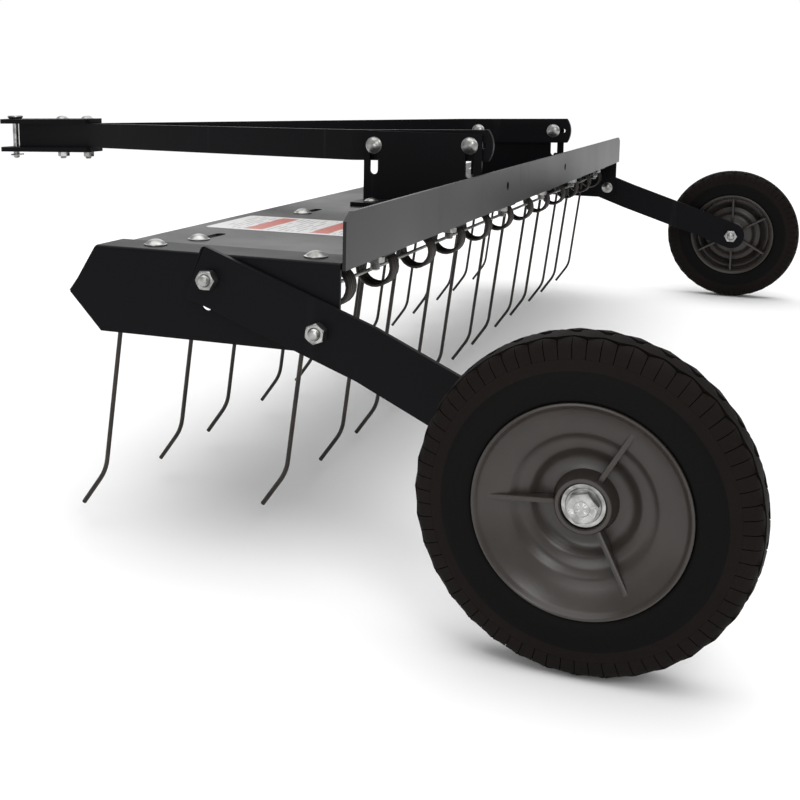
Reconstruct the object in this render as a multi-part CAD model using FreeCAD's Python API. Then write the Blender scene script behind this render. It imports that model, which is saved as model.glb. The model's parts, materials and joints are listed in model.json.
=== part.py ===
import FreeCAD, Part
import math
import os

V = FreeCAD.Vector

# Tow-behind lawn dethatcher, all sizes in millimetres.
# +X is the machine's left, +Y points back from the hitch to the wheels, +Z is up.
# Sizes along Y are first taken from the wheel axle, and heights from the ground.
# The whole machine is then moved so that the origin is at the bottom centre of its box.

# Working width and tines
WORK_WIDTH = 1219.2        # over the outer faces of the two end plates
SPRINGS_PER_ROW = 6        # double springs, two tines each
ROW_SPACING = 127.0
WIRE_R = 1.9
COIL_R = 14.4              # mean radius
COIL_TURNS = 5
TURN_PITCH = 3.7
REAR_COIL_Y = -216.2
COIL_DROP = 24.5           # from the deck's underside down to the coil's axis
LEG_DROP = 145.5           # from the coil's axis down to the tine's bend
LEG_LEAN = 18.0            # how far the bend lies ahead of the leg's top
TIP_DROP = 28.6            # from the bend to the tip
TIP_LEAN = 19.7
LOOP_BACK = 8.8            # from the coil's axis back to the clamped cross bar
BAR_PLAY = 0.5             # between the cross bar and its bolt
LOOP_RISE = 9.0            # sideways run in which the cross bar climbs to the deck
CROSS_GAP = 0.4            # past one turn's spacing, between the cross bar and its coil

# Deck
SHEET = 2.5
DECK_TOP = 216.8
DECK_FRONT = -372.0
DECK_REAR = -179.0         # front face of the rear flange
LIP_FORWARD = 24.5
LIP_DROP = 33.0
FLANGE_TOP = 253.7
FLANGE_CLIP = (11.0, 6.0)   # cut off each top corner, along X and Z
FLANGE_HOLE_SPACING = 304.8
FLANGE_HOLE_Z = 235.4
FLANGE_HOLE_R = 4.5
SLOT_LENGTH = 50.0
SLOT_SHIFT = {"front": -16.0, "rear": 16.0}
CORNER_CLEARANCE = 0.5     # from the deck's side to the end plate

# End plates
PLATE_BOTTOM = 156.2
PLATE_REAR = -180.4
NOSE_Z = 183.3
PLATE_FOOT_FRONT = -367.7
PLATE_FLANGE = 38.0
LONG_EDGE = 100.0          # an edge longer than this runs along the whole plate
PLATE_BEND_R = 2.4
PLATE_BOLT_X_IN = 20.0     # from the plate's outer face
PLATE_BOLT_YS = (-333.5, -206.5)

# Wheel arms
ARM_ANGLE = 20.0           # below level, from the plate back to the axle
ARM_LENGTH = 206.0         # pivot to axle
ARM_BOLT_SPACING = 88.0
ARM_WIDTH = 40.0
ARM_THICK = 5.0
ARM_FRONT_END = 14.0       # beyond the front bolt
ARM_CORNER_R = 3.0
ARM_FLARE = 28.0           # outward, from the plate to the wheel
ARM_FLARE_YS = (-170.0, -45.0)  # along the arm, from the axle
ARM_TRAVEL = 13.0          # degrees
FACE_GAP = 0.2             # between flat faces that slide on each other

# Wheels
TYRE_R = 101.6
TYRE_WIDTH = 44.4
RIM_R = 63.6               # over the lips
RIM_WIDTH = 36.0
RIM_WALL = 5.0
SEAT_R = 60.6              # where the tyre sits between the rim's two lips
LIP_WIDTH = 3.0
BULGE_UP = 10.0            # widest part of the tyre, from above the rim's lip
BULGE_DOWN = 18.0          # to below the top of the tread
TREAD_HALF = 13.8
CROWN = 3.0                # rise of the tread from its edges to its middle
WEB_THICK = 6.0
HUB_R = 16.0
HUB_OUT = 5.3              # hub end beyond the wheel's middle plane
HUB_LENGTH = 30.0
BUSH_WALL = 2.0
SPACER_WALL = 3.5
AXLE_WASHER_R = 13.0
WHEEL_OFFSET = 65.0        # from the end plate's outer face to the wheel's middle plane
RIBS = 6                   # on the inner side of the web
RIB_THICK = 4.0
RIB_SET_IN = 2.0
FINS = 3                   # on the outer side of the web
FIN_HEIGHT = 8.0
FIN_END_R = 53.0
FIN_TURN = 90.0            # degrees from the top, turning towards the front
RUNNING = 0.05             # radial clearance of a running fit
SIDE_PLAY = 0.4

# Tow brackets and draft bars
BRACKET_X = 208.8          # outer face
BRACKET_THICK = 4.0
BRACKET_FRONT = -313.0
BRACKET_REAR = -190.0
BRACKET_TOP = 290.0
BRACKET_CORNER_R = 3.0
FOOT_WIDTH = 40.0
FOOT_YS = (-312.0, -214.0)
FOOT_BOLT_OUT = 22.0
FOOT_BOLT_YS = (-296.0, -250.0)
BAR_BOLT_YS = (-302.4, -202.4)
BAR_BOLT_Z = 278.3         # rear bolt
BAR_SLOT_DROP = 25.0       # how far the draft bars can be lowered
BAR_HEIGHT = 31.0
BAR_THICK = 6.0
BAR_END_Y = -180.0
BAR_END_BULGE = 5.0        # of the arc at the bar's back end
BAR_BEND_Y = -328.0
SPARE_HOLE_Y = -190.0
SPARE_HOLE_R = 3.2
DRAWBAR_TILT = 1.7         # degrees, front end down

# Hitch
HITCH_FRONT = -903.0
HITCH_REAR = -765.0
HITCH_WIDTH = 42.0
HITCH_THICK = 6.0
HITCH_CORNER_R = 8.0
HITCH_BAR_X = 10.5         # outer face of each bar between the plates
HITCH_BEND_Y = -772.0
BAR_FRONT_Y = -877.0
HITCH_BOLT_YS = (-815.0, -776.5)
PIN_Y = -890.0
PIN_D = 8.0
PIN_TAIL = 9.5
PIN_HEAD_R = 8.5
PIN_HEAD = 2.6             # thickness of the flat part
PIN_RIM_WIRE_R = 1.8       # raised rim for the fingers
CLIP_R = 1.0
CLIP_BELOW = 4.5           # from the bottom plate down to the clip's straight leg
CLIP_PLAY = 0.3

# Fasteners: shank diameter, across flats, nut height, dome head radius and height, washer
M6 = dict(d=6.0, af=10.0, nut=5.0, head_r=7.2, head_h=3.4, washer_r=6.9)
M8 = dict(d=8.0, af=13.0, nut=6.5, head_r=8.6, head_h=4.6, washer_r=8.0)
M10 = dict(d=10.0, af=17.0, nut=8.4, head=6.4)
CUT = 40.0                 # length of a cutter that goes right through
AXLE_D = M10["d"]
HOLE_PLAY = 0.4            # radial, round every bolt
WASHER_T = 1.5
STUD_OUT = 3.0
TINE_STUD_OUT = 6.0
SHORT_STUD = 0.8
CLAMP = (30.0, 24.0, 3.0)
ROD_R = 1.5
LABEL = (92.0, 140.0, 0.4)
LABEL_SHIFT = -13.8        # along X, from midway between the two outermost front springs
LABEL_Y = -290.0

# Worked out from the sizes above
HALF = WORK_WIDTH / 2
TINE_PITCH = WORK_WIDTH / (4 * SPRINGS_PER_ROW)
DECK_UNDER = DECK_TOP - SHEET
COIL_Z = DECK_UNDER - COIL_DROP
COIL_Y = {"rear": REAR_COIL_Y, "front": REAR_COIL_Y - ROW_SPACING}
ROW_SHIFT = {"rear": -TINE_PITCH / 2, "front": TINE_PITCH / 2}
COIL_LENGTH = (COIL_TURNS - 1) * TURN_PITCH
CLAMP_BAR_Z = DECK_UNDER - WIRE_R
PIVOT_Y = -ARM_LENGTH * math.cos(math.radians(ARM_ANGLE))
PIVOT_Z = TYRE_R + ARM_LENGTH * math.sin(math.radians(ARM_ANGLE))
ARM_X = HALF + FACE_GAP
AXLE_NUT_X = ARM_X + ARM_FLARE
WHEEL_X = HALF + WHEEL_OFFSET
BAR_OUT_X = BRACKET_X - BRACKET_THICK - FACE_GAP
BAR_Z0, BAR_Z1 = BAR_BOLT_Z - BAR_HEIGHT / 2, BAR_BOLT_Z + BAR_HEIGHT / 2
CLIP_TURN = PIN_D / 2 + CLIP_R + CLIP_PLAY
CLIP_PATH = [(-PIN_D, 0), (PIN_D, 0), (PIN_D + 5, 2.5), (PIN_D + 7, CLIP_TURN),
             (PIN_D, CLIP_TURN + 2), (2, CLIP_TURN), (-7, CLIP_TURN + 1)]

PARTS = {}


def box(x0, x1, y0, y1, z0, z1):
    return Part.makeBox(x1 - x0, y1 - y0, z1 - z0, V(x0, y0, z0))


def rod(start, end, radius):
    span = end - start
    return Part.makeCylinder(radius, span.Length, start, span)


def ball(centre, radius):
    return Part.makeSphere(radius, centre)


def bent_wire(points, radius):
    """Straight runs of round wire with a ball at each turn."""
    pieces = [rod(a, b, radius) for a, b in zip(points, points[1:])]
    pieces += [ball(p, radius) for p in points[1:-1]]
    return pieces[0].multiFuse(pieces[1:]).removeSplitter()


def plate_from_outline(points, x0, x1):
    """A flat plate whose outline is given in Y and Z."""
    outline = [V(x0, y, z) for y, z in points]
    face = Part.Face(Part.makePolygon(outline + outline[:1]))
    return face.extrude(V(x1 - x0, 0, 0))


def aim(shape, place, axis):
    """Turn a shape made along +Z so that it points along axis, then place it."""
    turned = shape.copy()
    turned.Placement = FreeCAD.Placement(place, FreeCAD.Rotation(V(0, 0, 1), axis))
    return turned


def dome_bolt(size, place, axis, reach):
    """A round-head bolt: the head's seat is at place, axis points out of the head."""
    r, h = size["head_r"], size["head_h"]
    sphere_r = (r * r + h * h) / (2 * h)
    cap = Part.makeSphere(sphere_r, V(0, 0, h - sphere_r))
    cap = cap.common(Part.makeCylinder(r, h, V(0, 0, 0)))
    shank = Part.makeCylinder(size["d"] / 2, reach, V(0, 0, -reach))
    return aim(cap.fuse(shank), place, axis)


def hexagon(af, height):
    corner = af / math.sqrt(3)
    turns = [math.radians(60 * i) for i in range(7)]
    ring = [V(corner * math.cos(a), corner * math.sin(a), 0) for a in turns]
    return Part.Face(Part.makePolygon(ring)).extrude(V(0, 0, height))


def hex_nut(size, place, axis):
    nut = hexagon(size["af"], size["nut"])
    return aim(nut.cut(Part.makeCylinder(size["d"] / 2, size["nut"])), place, axis)


def washer(size, place, axis):
    ring = Part.makeCylinder(size["washer_r"], WASHER_T)
    return aim(ring.cut(Part.makeCylinder(size["d"] / 2, WASHER_T)), place, axis)


def hole(size, place, axis, depth):
    """A cutter for a bolt's hole, centred on place."""
    radius = size["d"] / 2 + HOLE_PLAY
    return aim(Part.makeCylinder(radius, depth, V(0, 0, -depth / 2)), place, axis)


def group(name, shapes):
    PARTS[name] = Part.makeCompound(shapes)


def mirrored(shape):
    return shape.mirror(V(0, 0, 0), V(1, 0, 0))


def spring_centres(row):
    step = 4 * TINE_PITCH
    first = step * (SPRINGS_PER_ROW - 1) / 2
    return [first - i * step + ROW_SHIFT[row] for i in range(SPRINGS_PER_ROW)]


def tine_bolt_place(row, x):
    return V(x, COIL_Y[row] + LOOP_BACK + WIRE_R + BAR_PLAY + M8["d"] / 2, DECK_TOP)


def make_deck():
    side = HALF - SHEET - CORNER_CLEARANCE
    panel = box(-side, side, DECK_FRONT, DECK_REAR + SHEET, DECK_UNDER, DECK_TOP)
    slope = math.hypot(LIP_FORWARD, LIP_DROP)
    step_y, step_z = SHEET * LIP_DROP / slope, SHEET * LIP_FORWARD / slope
    lip = plate_from_outline(
        [(DECK_FRONT, DECK_TOP), (DECK_FRONT - LIP_FORWARD, DECK_TOP - LIP_DROP),
         (DECK_FRONT - LIP_FORWARD + step_y, DECK_TOP - LIP_DROP - step_z),
         (DECK_FRONT + step_y, DECK_TOP - step_z)], -side, side)
    clip_x, clip_z = FLANGE_CLIP
    outline = [(-HALF, DECK_UNDER), (HALF, DECK_UNDER), (HALF, FLANGE_TOP - clip_z),
               (HALF - clip_x, FLANGE_TOP), (clip_x - HALF, FLANGE_TOP), (-HALF, FLANGE_TOP - clip_z)]
    ring = [V(x, DECK_REAR, z) for x, z in outline]
    flange = Part.Face(Part.makePolygon(ring + ring[:1])).extrude(V(0, SHEET, 0))
    deck = panel.fuse(lip).fuse(flange)
    for sign in (1, -1):
        deck = deck.cut(aim(Part.makeCylinder(FLANGE_HOLE_R, 4 * SHEET),
                            V(sign * FLANGE_HOLE_SPACING / 2, DECK_REAR - SHEET, FLANGE_HOLE_Z),
                            V(0, 1, 0)))
        for y in PLATE_BOLT_YS:
            deck = deck.cut(hole(M8, V(sign * (HALF - PLATE_BOLT_X_IN), y, DECK_TOP), V(0, 0, 1), CUT))
        for y in FOOT_BOLT_YS:
            deck = deck.cut(hole(M6, V(sign * (BRACKET_X + FOOT_BOLT_OUT), y, DECK_TOP), V(0, 0, 1), CUT))
    slot_r = M8["d"] / 2 + HOLE_PLAY
    for row, shift in SLOT_SHIFT.items():
        for x in spring_centres(row):
            place = tine_bolt_place(row, x)
            half = SLOT_LENGTH / 2 - slot_r
            middle = x + shift
            slot = box(middle - half, middle + half, place.y - slot_r, place.y + slot_r,
                       DECK_UNDER - 1, DECK_TOP + 1)
            for end in (middle - half, middle + half):
                slot = slot.fuse(Part.makeCylinder(slot_r, SHEET + 2, V(end, place.y, DECK_UNDER - 1)))
            deck = deck.cut(slot)
    PARTS["deck_tray"] = deck.removeSplitter()


def arc_slot(radius, width, start, sweep, x0, x1):
    """A curved slot round the arm's pivot, in a plate between x0 and x1."""
    def at(r, angle):
        return PIVOT_Y + r * math.cos(angle), PIVOT_Z + r * math.sin(angle)

    outer, inner = [rod(V(x0, PIVOT_Y, PIVOT_Z), V(x1, PIVOT_Y, PIVOT_Z), r)
                    for r in (radius + width / 2, radius - width / 2)]
    angles = [math.radians(start), math.radians(start + sweep)]
    wedge = plate_from_outline([(PIVOT_Y, PIVOT_Z)] + [at(2 * radius, a) for a in angles], x0, x1)
    ends = [rod(V(x0, *at(radius, a)), V(x1, *at(radius, a)), width / 2) for a in angles]
    return outer.cut(inner).common(wedge).multiFuse(ends)


def make_end_plates():
    top = DECK_TOP + SHEET
    outline = [(DECK_FRONT, top), (DECK_FRONT - LIP_FORWARD + SHEET, NOSE_Z),
               (PLATE_FOOT_FRONT, PLATE_BOTTOM), (PLATE_REAR, PLATE_BOTTOM), (PLATE_REAR, top)]
    wall = plate_from_outline(outline, HALF - SHEET, HALF)
    shelf = box(HALF - PLATE_FLANGE, HALF, DECK_FRONT, PLATE_REAR, DECK_TOP, top)
    plate = wall.fuse(shelf).removeSplitter()
    bend = [e for e in plate.Edges if len(e.Vertexes) == 2 and e.Length > LONG_EDGE
            and all(abs(v.X - HALF) < 0.01 and abs(v.Z - top) < 0.01 for v in e.Vertexes)]
    plate = plate.makeFillet(PLATE_BEND_R, bend)
    for y in PLATE_BOLT_YS:
        plate = plate.cut(hole(M8, V(HALF - PLATE_BOLT_X_IN, y, top), V(0, 0, 1), CUT))
    plate = plate.cut(hole(M8, V(HALF, PIVOT_Y, PIVOT_Z), V(1, 0, 0), CUT))
    start = 180 - ARM_ANGLE
    plate = plate.cut(arc_slot(ARM_BOLT_SPACING, M8["d"] + 2 * HOLE_PLAY, start, ARM_TRAVEL,
                               HALF - 2 * SHEET, HALF + SHEET))
    plate = plate.cut(rod(V(HALF - 3 * SHEET, COIL_Y["rear"], COIL_Z),
                          V(HALF + SHEET, COIL_Y["rear"], COIL_Z), ROD_R + HOLE_PLAY))
    PARTS["left_end_plate"] = plate
    PARTS["right_end_plate"] = mirrored(plate)
    bolts, nuts = [], []
    for sign in (1, -1):
        for y in PLATE_BOLT_YS:
            x = sign * (HALF - PLATE_BOLT_X_IN)
            reach = 2 * SHEET + M8["nut"] + SHORT_STUD
            bolts.append(dome_bolt(M8, V(x, y, top), V(0, 0, 1), reach))
            nuts.append(hex_nut(M8, V(x, y, DECK_UNDER), V(0, 0, -1)))
    group("end_plate_bolts", bolts)
    group("end_plate_nuts", nuts)


def make_brackets():
    base = DECK_TOP
    inner = BRACKET_X - BRACKET_THICK
    upright = box(inner, BRACKET_X, BRACKET_FRONT, BRACKET_REAR, base, BRACKET_TOP)
    foot = box(inner, BRACKET_X + FOOT_WIDTH, FOOT_YS[0], FOOT_YS[1], base, base + BRACKET_THICK)
    bracket = upright.fuse(foot).removeSplitter()
    width = M8["d"] / 2 + HOLE_PLAY
    tilt = math.tan(math.radians(DRAWBAR_TILT))
    for y in BAR_BOLT_YS:
        high = BAR_BOLT_Z
        low = BAR_BOLT_Z - (BAR_BOLT_YS[1] - BAR_BOLT_YS[0]) * tilt - BAR_SLOT_DROP
        slot = box(inner - 1, BRACKET_X + 1, y - width, y + width, low, high)
        for z in (low, high):
            slot = slot.fuse(rod(V(inner - 1, y, z), V(BRACKET_X + 1, y, z), width))
        bracket = bracket.cut(slot)
    for y in FOOT_BOLT_YS:
        bracket = bracket.cut(hole(M6, V(BRACKET_X + FOOT_BOLT_OUT, y, base), V(0, 0, 1), CUT))
    corners = [e for e in bracket.Edges if abs(e.Length - BRACKET_THICK) < 0.01
               and all(abs(v.Z - BRACKET_TOP) < 0.01 for v in e.Vertexes)]
    bracket = bracket.makeFillet(BRACKET_CORNER_R, corners)
    PARTS["left_tow_bracket"] = bracket
    PARTS["right_tow_bracket"] = mirrored(bracket)
    bolts, nuts = [], []
    for sign in (1, -1):
        for y in FOOT_BOLT_YS:
            x = sign * (BRACKET_X + FOOT_BOLT_OUT)
            reach = BRACKET_THICK + SHEET + M6["nut"] + STUD_OUT
            bolts.append(dome_bolt(M6, V(x, y, base + BRACKET_THICK), V(0, 0, 1), reach))
            nuts.append(hex_nut(M6, V(x, y, DECK_UNDER), V(0, 0, -1)))
    group("bracket_bolts", bolts)
    group("bracket_nuts", nuts)


def bar_path():
    """Outer face of a draft bar from above, from its front end to its back end."""
    return [V(HITCH_BAR_X, BAR_FRONT_Y, 0), V(HITCH_BAR_X, HITCH_BEND_Y, 0),
            V(BAR_OUT_X, BAR_BEND_Y, 0), V(BAR_OUT_X, BAR_END_Y, 0)]


def make_drawbar():
    path = bar_path()
    lean = math.atan2(path[2].x - path[1].x, path[2].y - path[1].y)
    tuck = BAR_THICK * math.tan(lean / 2)
    inside = [V(path[0].x - BAR_THICK, path[0].y, 0), V(path[1].x - BAR_THICK, path[1].y + tuck, 0),
              V(path[2].x - BAR_THICK, path[2].y + tuck, 0), V(path[3].x - BAR_THICK, path[3].y, 0)]
    ring = [V(p.x, p.y, BAR_Z0) for p in path + inside[::-1]]
    bar = Part.Face(Part.makePolygon(ring + ring[:1])).extrude(V(0, 0, BAR_HEIGHT))
    half, bulge = BAR_HEIGHT / 2, BAR_END_BULGE
    end_r = (half * half + bulge * bulge) / (2 * bulge)
    middle = BAR_END_Y - end_r
    side = BAR_OUT_X - BAR_THICK
    keep = rod(V(side - 1, middle, BAR_BOLT_Z), V(BAR_OUT_X + 1, middle, BAR_BOLT_Z), end_r)
    keep = keep.fuse(box(0, BAR_OUT_X + 1, BAR_FRONT_Y - 1, middle, BAR_Z0 - 1, BAR_Z1 + 1))
    bar = bar.common(keep)
    for y in BAR_BOLT_YS:
        bar = bar.cut(hole(M8, V(BAR_OUT_X, y, BAR_BOLT_Z), V(1, 0, 0), CUT))
    bar = bar.cut(rod(V(BAR_OUT_X - 20, SPARE_HOLE_Y, BAR_BOLT_Z),
                      V(BAR_OUT_X + 20, SPARE_HOLE_Y, BAR_BOLT_Z), SPARE_HOLE_R))
    made = {"left_draft_bar": bar, "right_draft_bar": mirrored(bar)}

    for name, low in (("hitch_plate_top", BAR_Z1), ("hitch_plate_bottom", BAR_Z0 - HITCH_THICK)):
        plate = box(-HITCH_WIDTH / 2, HITCH_WIDTH / 2, HITCH_FRONT, HITCH_REAR, low, low + HITCH_THICK)
        upright_edges = [e for e in plate.Edges if abs(e.Length - HITCH_THICK) < 0.01]
        plate = plate.makeFillet(HITCH_CORNER_R, upright_edges)
        for y in HITCH_BOLT_YS:
            plate = plate.cut(hole(M8, V(0, y, low), V(0, 0, 1), CUT))
        made[name] = plate.cut(Part.makeCylinder(PIN_D / 2 + RUNNING, 40, V(0, PIN_Y, low - 10)))

    top, bottom = BAR_Z1 + HITCH_THICK, BAR_Z0 - HITCH_THICK
    reach = top - bottom + M8["nut"] + STUD_OUT
    made["hitch_bolts"] = Part.makeCompound(
        [dome_bolt(M8, V(0, y, top), V(0, 0, 1), reach) for y in HITCH_BOLT_YS])
    made["hitch_nuts"] = Part.makeCompound(
        [hex_nut(M8, V(0, y, bottom), V(0, 0, -1)) for y in HITCH_BOLT_YS])

    bolts, nuts = [], []
    out, back = BRACKET_X, BAR_OUT_X - BAR_THICK
    reach = out - back + WASHER_T + M8["nut"] + STUD_OUT
    for y in BAR_BOLT_YS:
        bolts.append(dome_bolt(M8, V(out + FACE_GAP, y, BAR_BOLT_Z), V(1, 0, 0), reach))
        nuts.append(washer(M8, V(back, y, BAR_BOLT_Z), V(-1, 0, 0)))
        nuts.append(hex_nut(M8, V(back - WASHER_T, y, BAR_BOLT_Z), V(-1, 0, 0)))
        bolts.append(dome_bolt(M8, V(-back, y, BAR_BOLT_Z), V(1, 0, 0), reach + FACE_GAP))
        nuts.append(washer(M8, V(-out - FACE_GAP, y, BAR_BOLT_Z), V(-1, 0, 0)))
        nuts.append(hex_nut(M8, V(-out - FACE_GAP - WASHER_T, y, BAR_BOLT_Z), V(-1, 0, 0)))
    made["draft_bar_bolts"] = Part.makeCompound(bolts)
    made["draft_bar_nuts"] = Part.makeCompound(nuts)

    seat = top + FACE_GAP
    pin = Part.makeCylinder(PIN_D / 2, seat - bottom + PIN_TAIL, V(0, PIN_Y, bottom - PIN_TAIL))
    flat = Part.makeCylinder(PIN_HEAD_R, PIN_HEAD, V(0, PIN_Y, seat))
    rim = Part.makeTorus(PIN_HEAD_R, PIN_RIM_WIRE_R, V(0, PIN_Y, seat + PIN_HEAD))
    clip_z = bottom - CLIP_BELOW
    clip_hole = rod(V(-PIN_D, PIN_Y, clip_z), V(PIN_D, PIN_Y, clip_z), CLIP_R + HOLE_PLAY)
    made["hitch_pin"] = pin.fuse(flat).fuse(rim).cut(clip_hole).removeSplitter()
    made["hitch_pin_clip"] = bent_wire([V(x, PIN_Y + y, clip_z) for x, y in CLIP_PATH], CLIP_R)

    swing = V(0, BAR_BOLT_YS[1], BAR_BOLT_Z)
    for name, shape in made.items():
        turned = shape.copy()
        turned.rotate(swing, V(1, 0, 0), DRAWBAR_TILT)
        PARTS[name] = turned


def make_springs():
    number = 0
    bolts, nuts, clamps = [], [], []
    for row in ("front", "rear"):
        yc, loops = COIL_Y[row], []
        for x in spring_centres(row):
            number += 1
            halves = []
            for sign in (1, -1):
                mid = x + sign * TINE_PITCH
                turns = [Part.makeTorus(COIL_R, WIRE_R, V(mid + (i - (COIL_TURNS - 1) / 2) * TURN_PITCH,
                                                         yc, COIL_Z), V(1, 0, 0))
                         for i in range(COIL_TURNS)]
                leg_x = mid + sign * COIL_LENGTH / 2
                start = V(leg_x, yc - COIL_R, COIL_Z)
                bend = V(leg_x, yc - COIL_R - LEG_LEAN, COIL_Z - LEG_DROP)
                tip = V(leg_x, bend.y - TIP_LEAN, bend.z - TIP_DROP)
                leg = bent_wire([start, bend, tip], WIRE_R)
                halves.append(turns[0].multiFuse(turns[1:] + [leg]).removeSplitter())
            group(f"tine_spring_{number:02d}", halves)
            reach = TINE_PITCH - COIL_LENGTH / 2 - TURN_PITCH - CROSS_GAP
            crown = COIL_Z + COIL_R
            loops.append(bent_wire(
                [V(x + reach, yc, crown), V(x + reach - LOOP_RISE, yc + LOOP_BACK, CLAMP_BAR_Z),
                 V(x - reach + LOOP_RISE, yc + LOOP_BACK, CLAMP_BAR_Z), V(x - reach, yc, crown)],
                WIRE_R))
        group(f"{row}_spring_cross_bars", loops)
        for x in spring_centres(row):
            place = tine_bolt_place(row, x)
            clamp_z = CLAMP_BAR_Z - WIRE_R - CLAMP[2]
            reach = DECK_TOP - clamp_z + M8["nut"] + TINE_STUD_OUT
            bolts.append(dome_bolt(M8, place, V(0, 0, 1), reach))
            nuts.append(hex_nut(M8, V(x, place.y, clamp_z), V(0, 0, -1)))
            clamp = box(x - CLAMP[0] / 2, x + CLAMP[0] / 2, place.y - CLAMP[1] / 2,
                        place.y + CLAMP[1] / 2, clamp_z, clamp_z + CLAMP[2])
            clamps.append(clamp.cut(hole(M8, place, V(0, 0, 1), CUT)))
    group("tine_bolts", bolts)
    group("tine_nuts", nuts)
    group("tine_clamps", clamps)
    PARTS["rear_tine_rod"] = rod(V(-HALF, COIL_Y["rear"], COIL_Z), V(HALF, COIL_Y["rear"], COIL_Z), ROD_R)


def make_arm(side):
    outer = ARM_X + ARM_THICK
    front = -(ARM_LENGTH + ARM_BOLT_SPACING + ARM_FRONT_END)
    half = ARM_WIDTH / 2
    inside = [(ARM_X, front), (ARM_X, ARM_FLARE_YS[0]), (ARM_X + ARM_FLARE, ARM_FLARE_YS[1]),
              (ARM_X + ARM_FLARE, 0)]
    plan = inside + [(x + ARM_THICK, y) for x, y in inside[::-1]]
    ring = [V(x, y, -half) for x, y in plan]
    arm = Part.Face(Part.makePolygon(ring + ring[:1])).extrude(V(0, 0, ARM_WIDTH))
    corners = [e for e in arm.Edges if abs(e.Length - ARM_THICK) < 0.01
               and all(abs(v.Y - front) < 0.01 for v in e.Vertexes)]
    arm = arm.makeFillet(ARM_CORNER_R, corners)
    arm = arm.fuse(rod(V(AXLE_NUT_X, 0, 0), V(AXLE_NUT_X + ARM_THICK, 0, 0), half)).removeSplitter()
    for y in (-ARM_LENGTH, -ARM_LENGTH - ARM_BOLT_SPACING):
        arm = arm.cut(hole(M8, V(outer, y, 0), V(1, 0, 0), CUT))
    arm = arm.cut(hole(M10, V(AXLE_NUT_X, 0, 0), V(1, 0, 0), CUT))
    bolts, nuts = [], []
    for y in (-ARM_LENGTH, -ARM_LENGTH - ARM_BOLT_SPACING):
        seat = HALF - SHEET - FACE_GAP
        reach = outer - seat + WASHER_T + M8["nut"] + STUD_OUT
        bolts.append(dome_bolt(M8, V(seat, y, 0), V(-1, 0, 0), reach))
        nuts.append(washer(M8, V(outer, y, 0), V(1, 0, 0)))
        nuts.append(hex_nut(M8, V(outer + WASHER_T, y, 0), V(1, 0, 0)))
    made = {"wheel_arm": arm, "arm_bolts": Part.makeCompound(bolts), "arm_nuts": Part.makeCompound(nuts)}
    for name, shape in made.items():
        turned = shape.copy()
        turned.rotate(V(0, 0, 0), V(1, 0, 0), -ARM_ANGLE)
        turned.translate(V(0, 0, TYRE_R))
        PARTS[f"{side}_{name}"] = turned if side == "left" else mirrored(turned)


def disc(x0, x1, outer, inner):
    ring = Part.makeCylinder(outer, x1 - x0, V(x0, 0, TYRE_R), V(1, 0, 0))
    return ring.cut(Part.makeCylinder(inner, x1 - x0, V(x0, 0, TYRE_R), V(1, 0, 0)))


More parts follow.
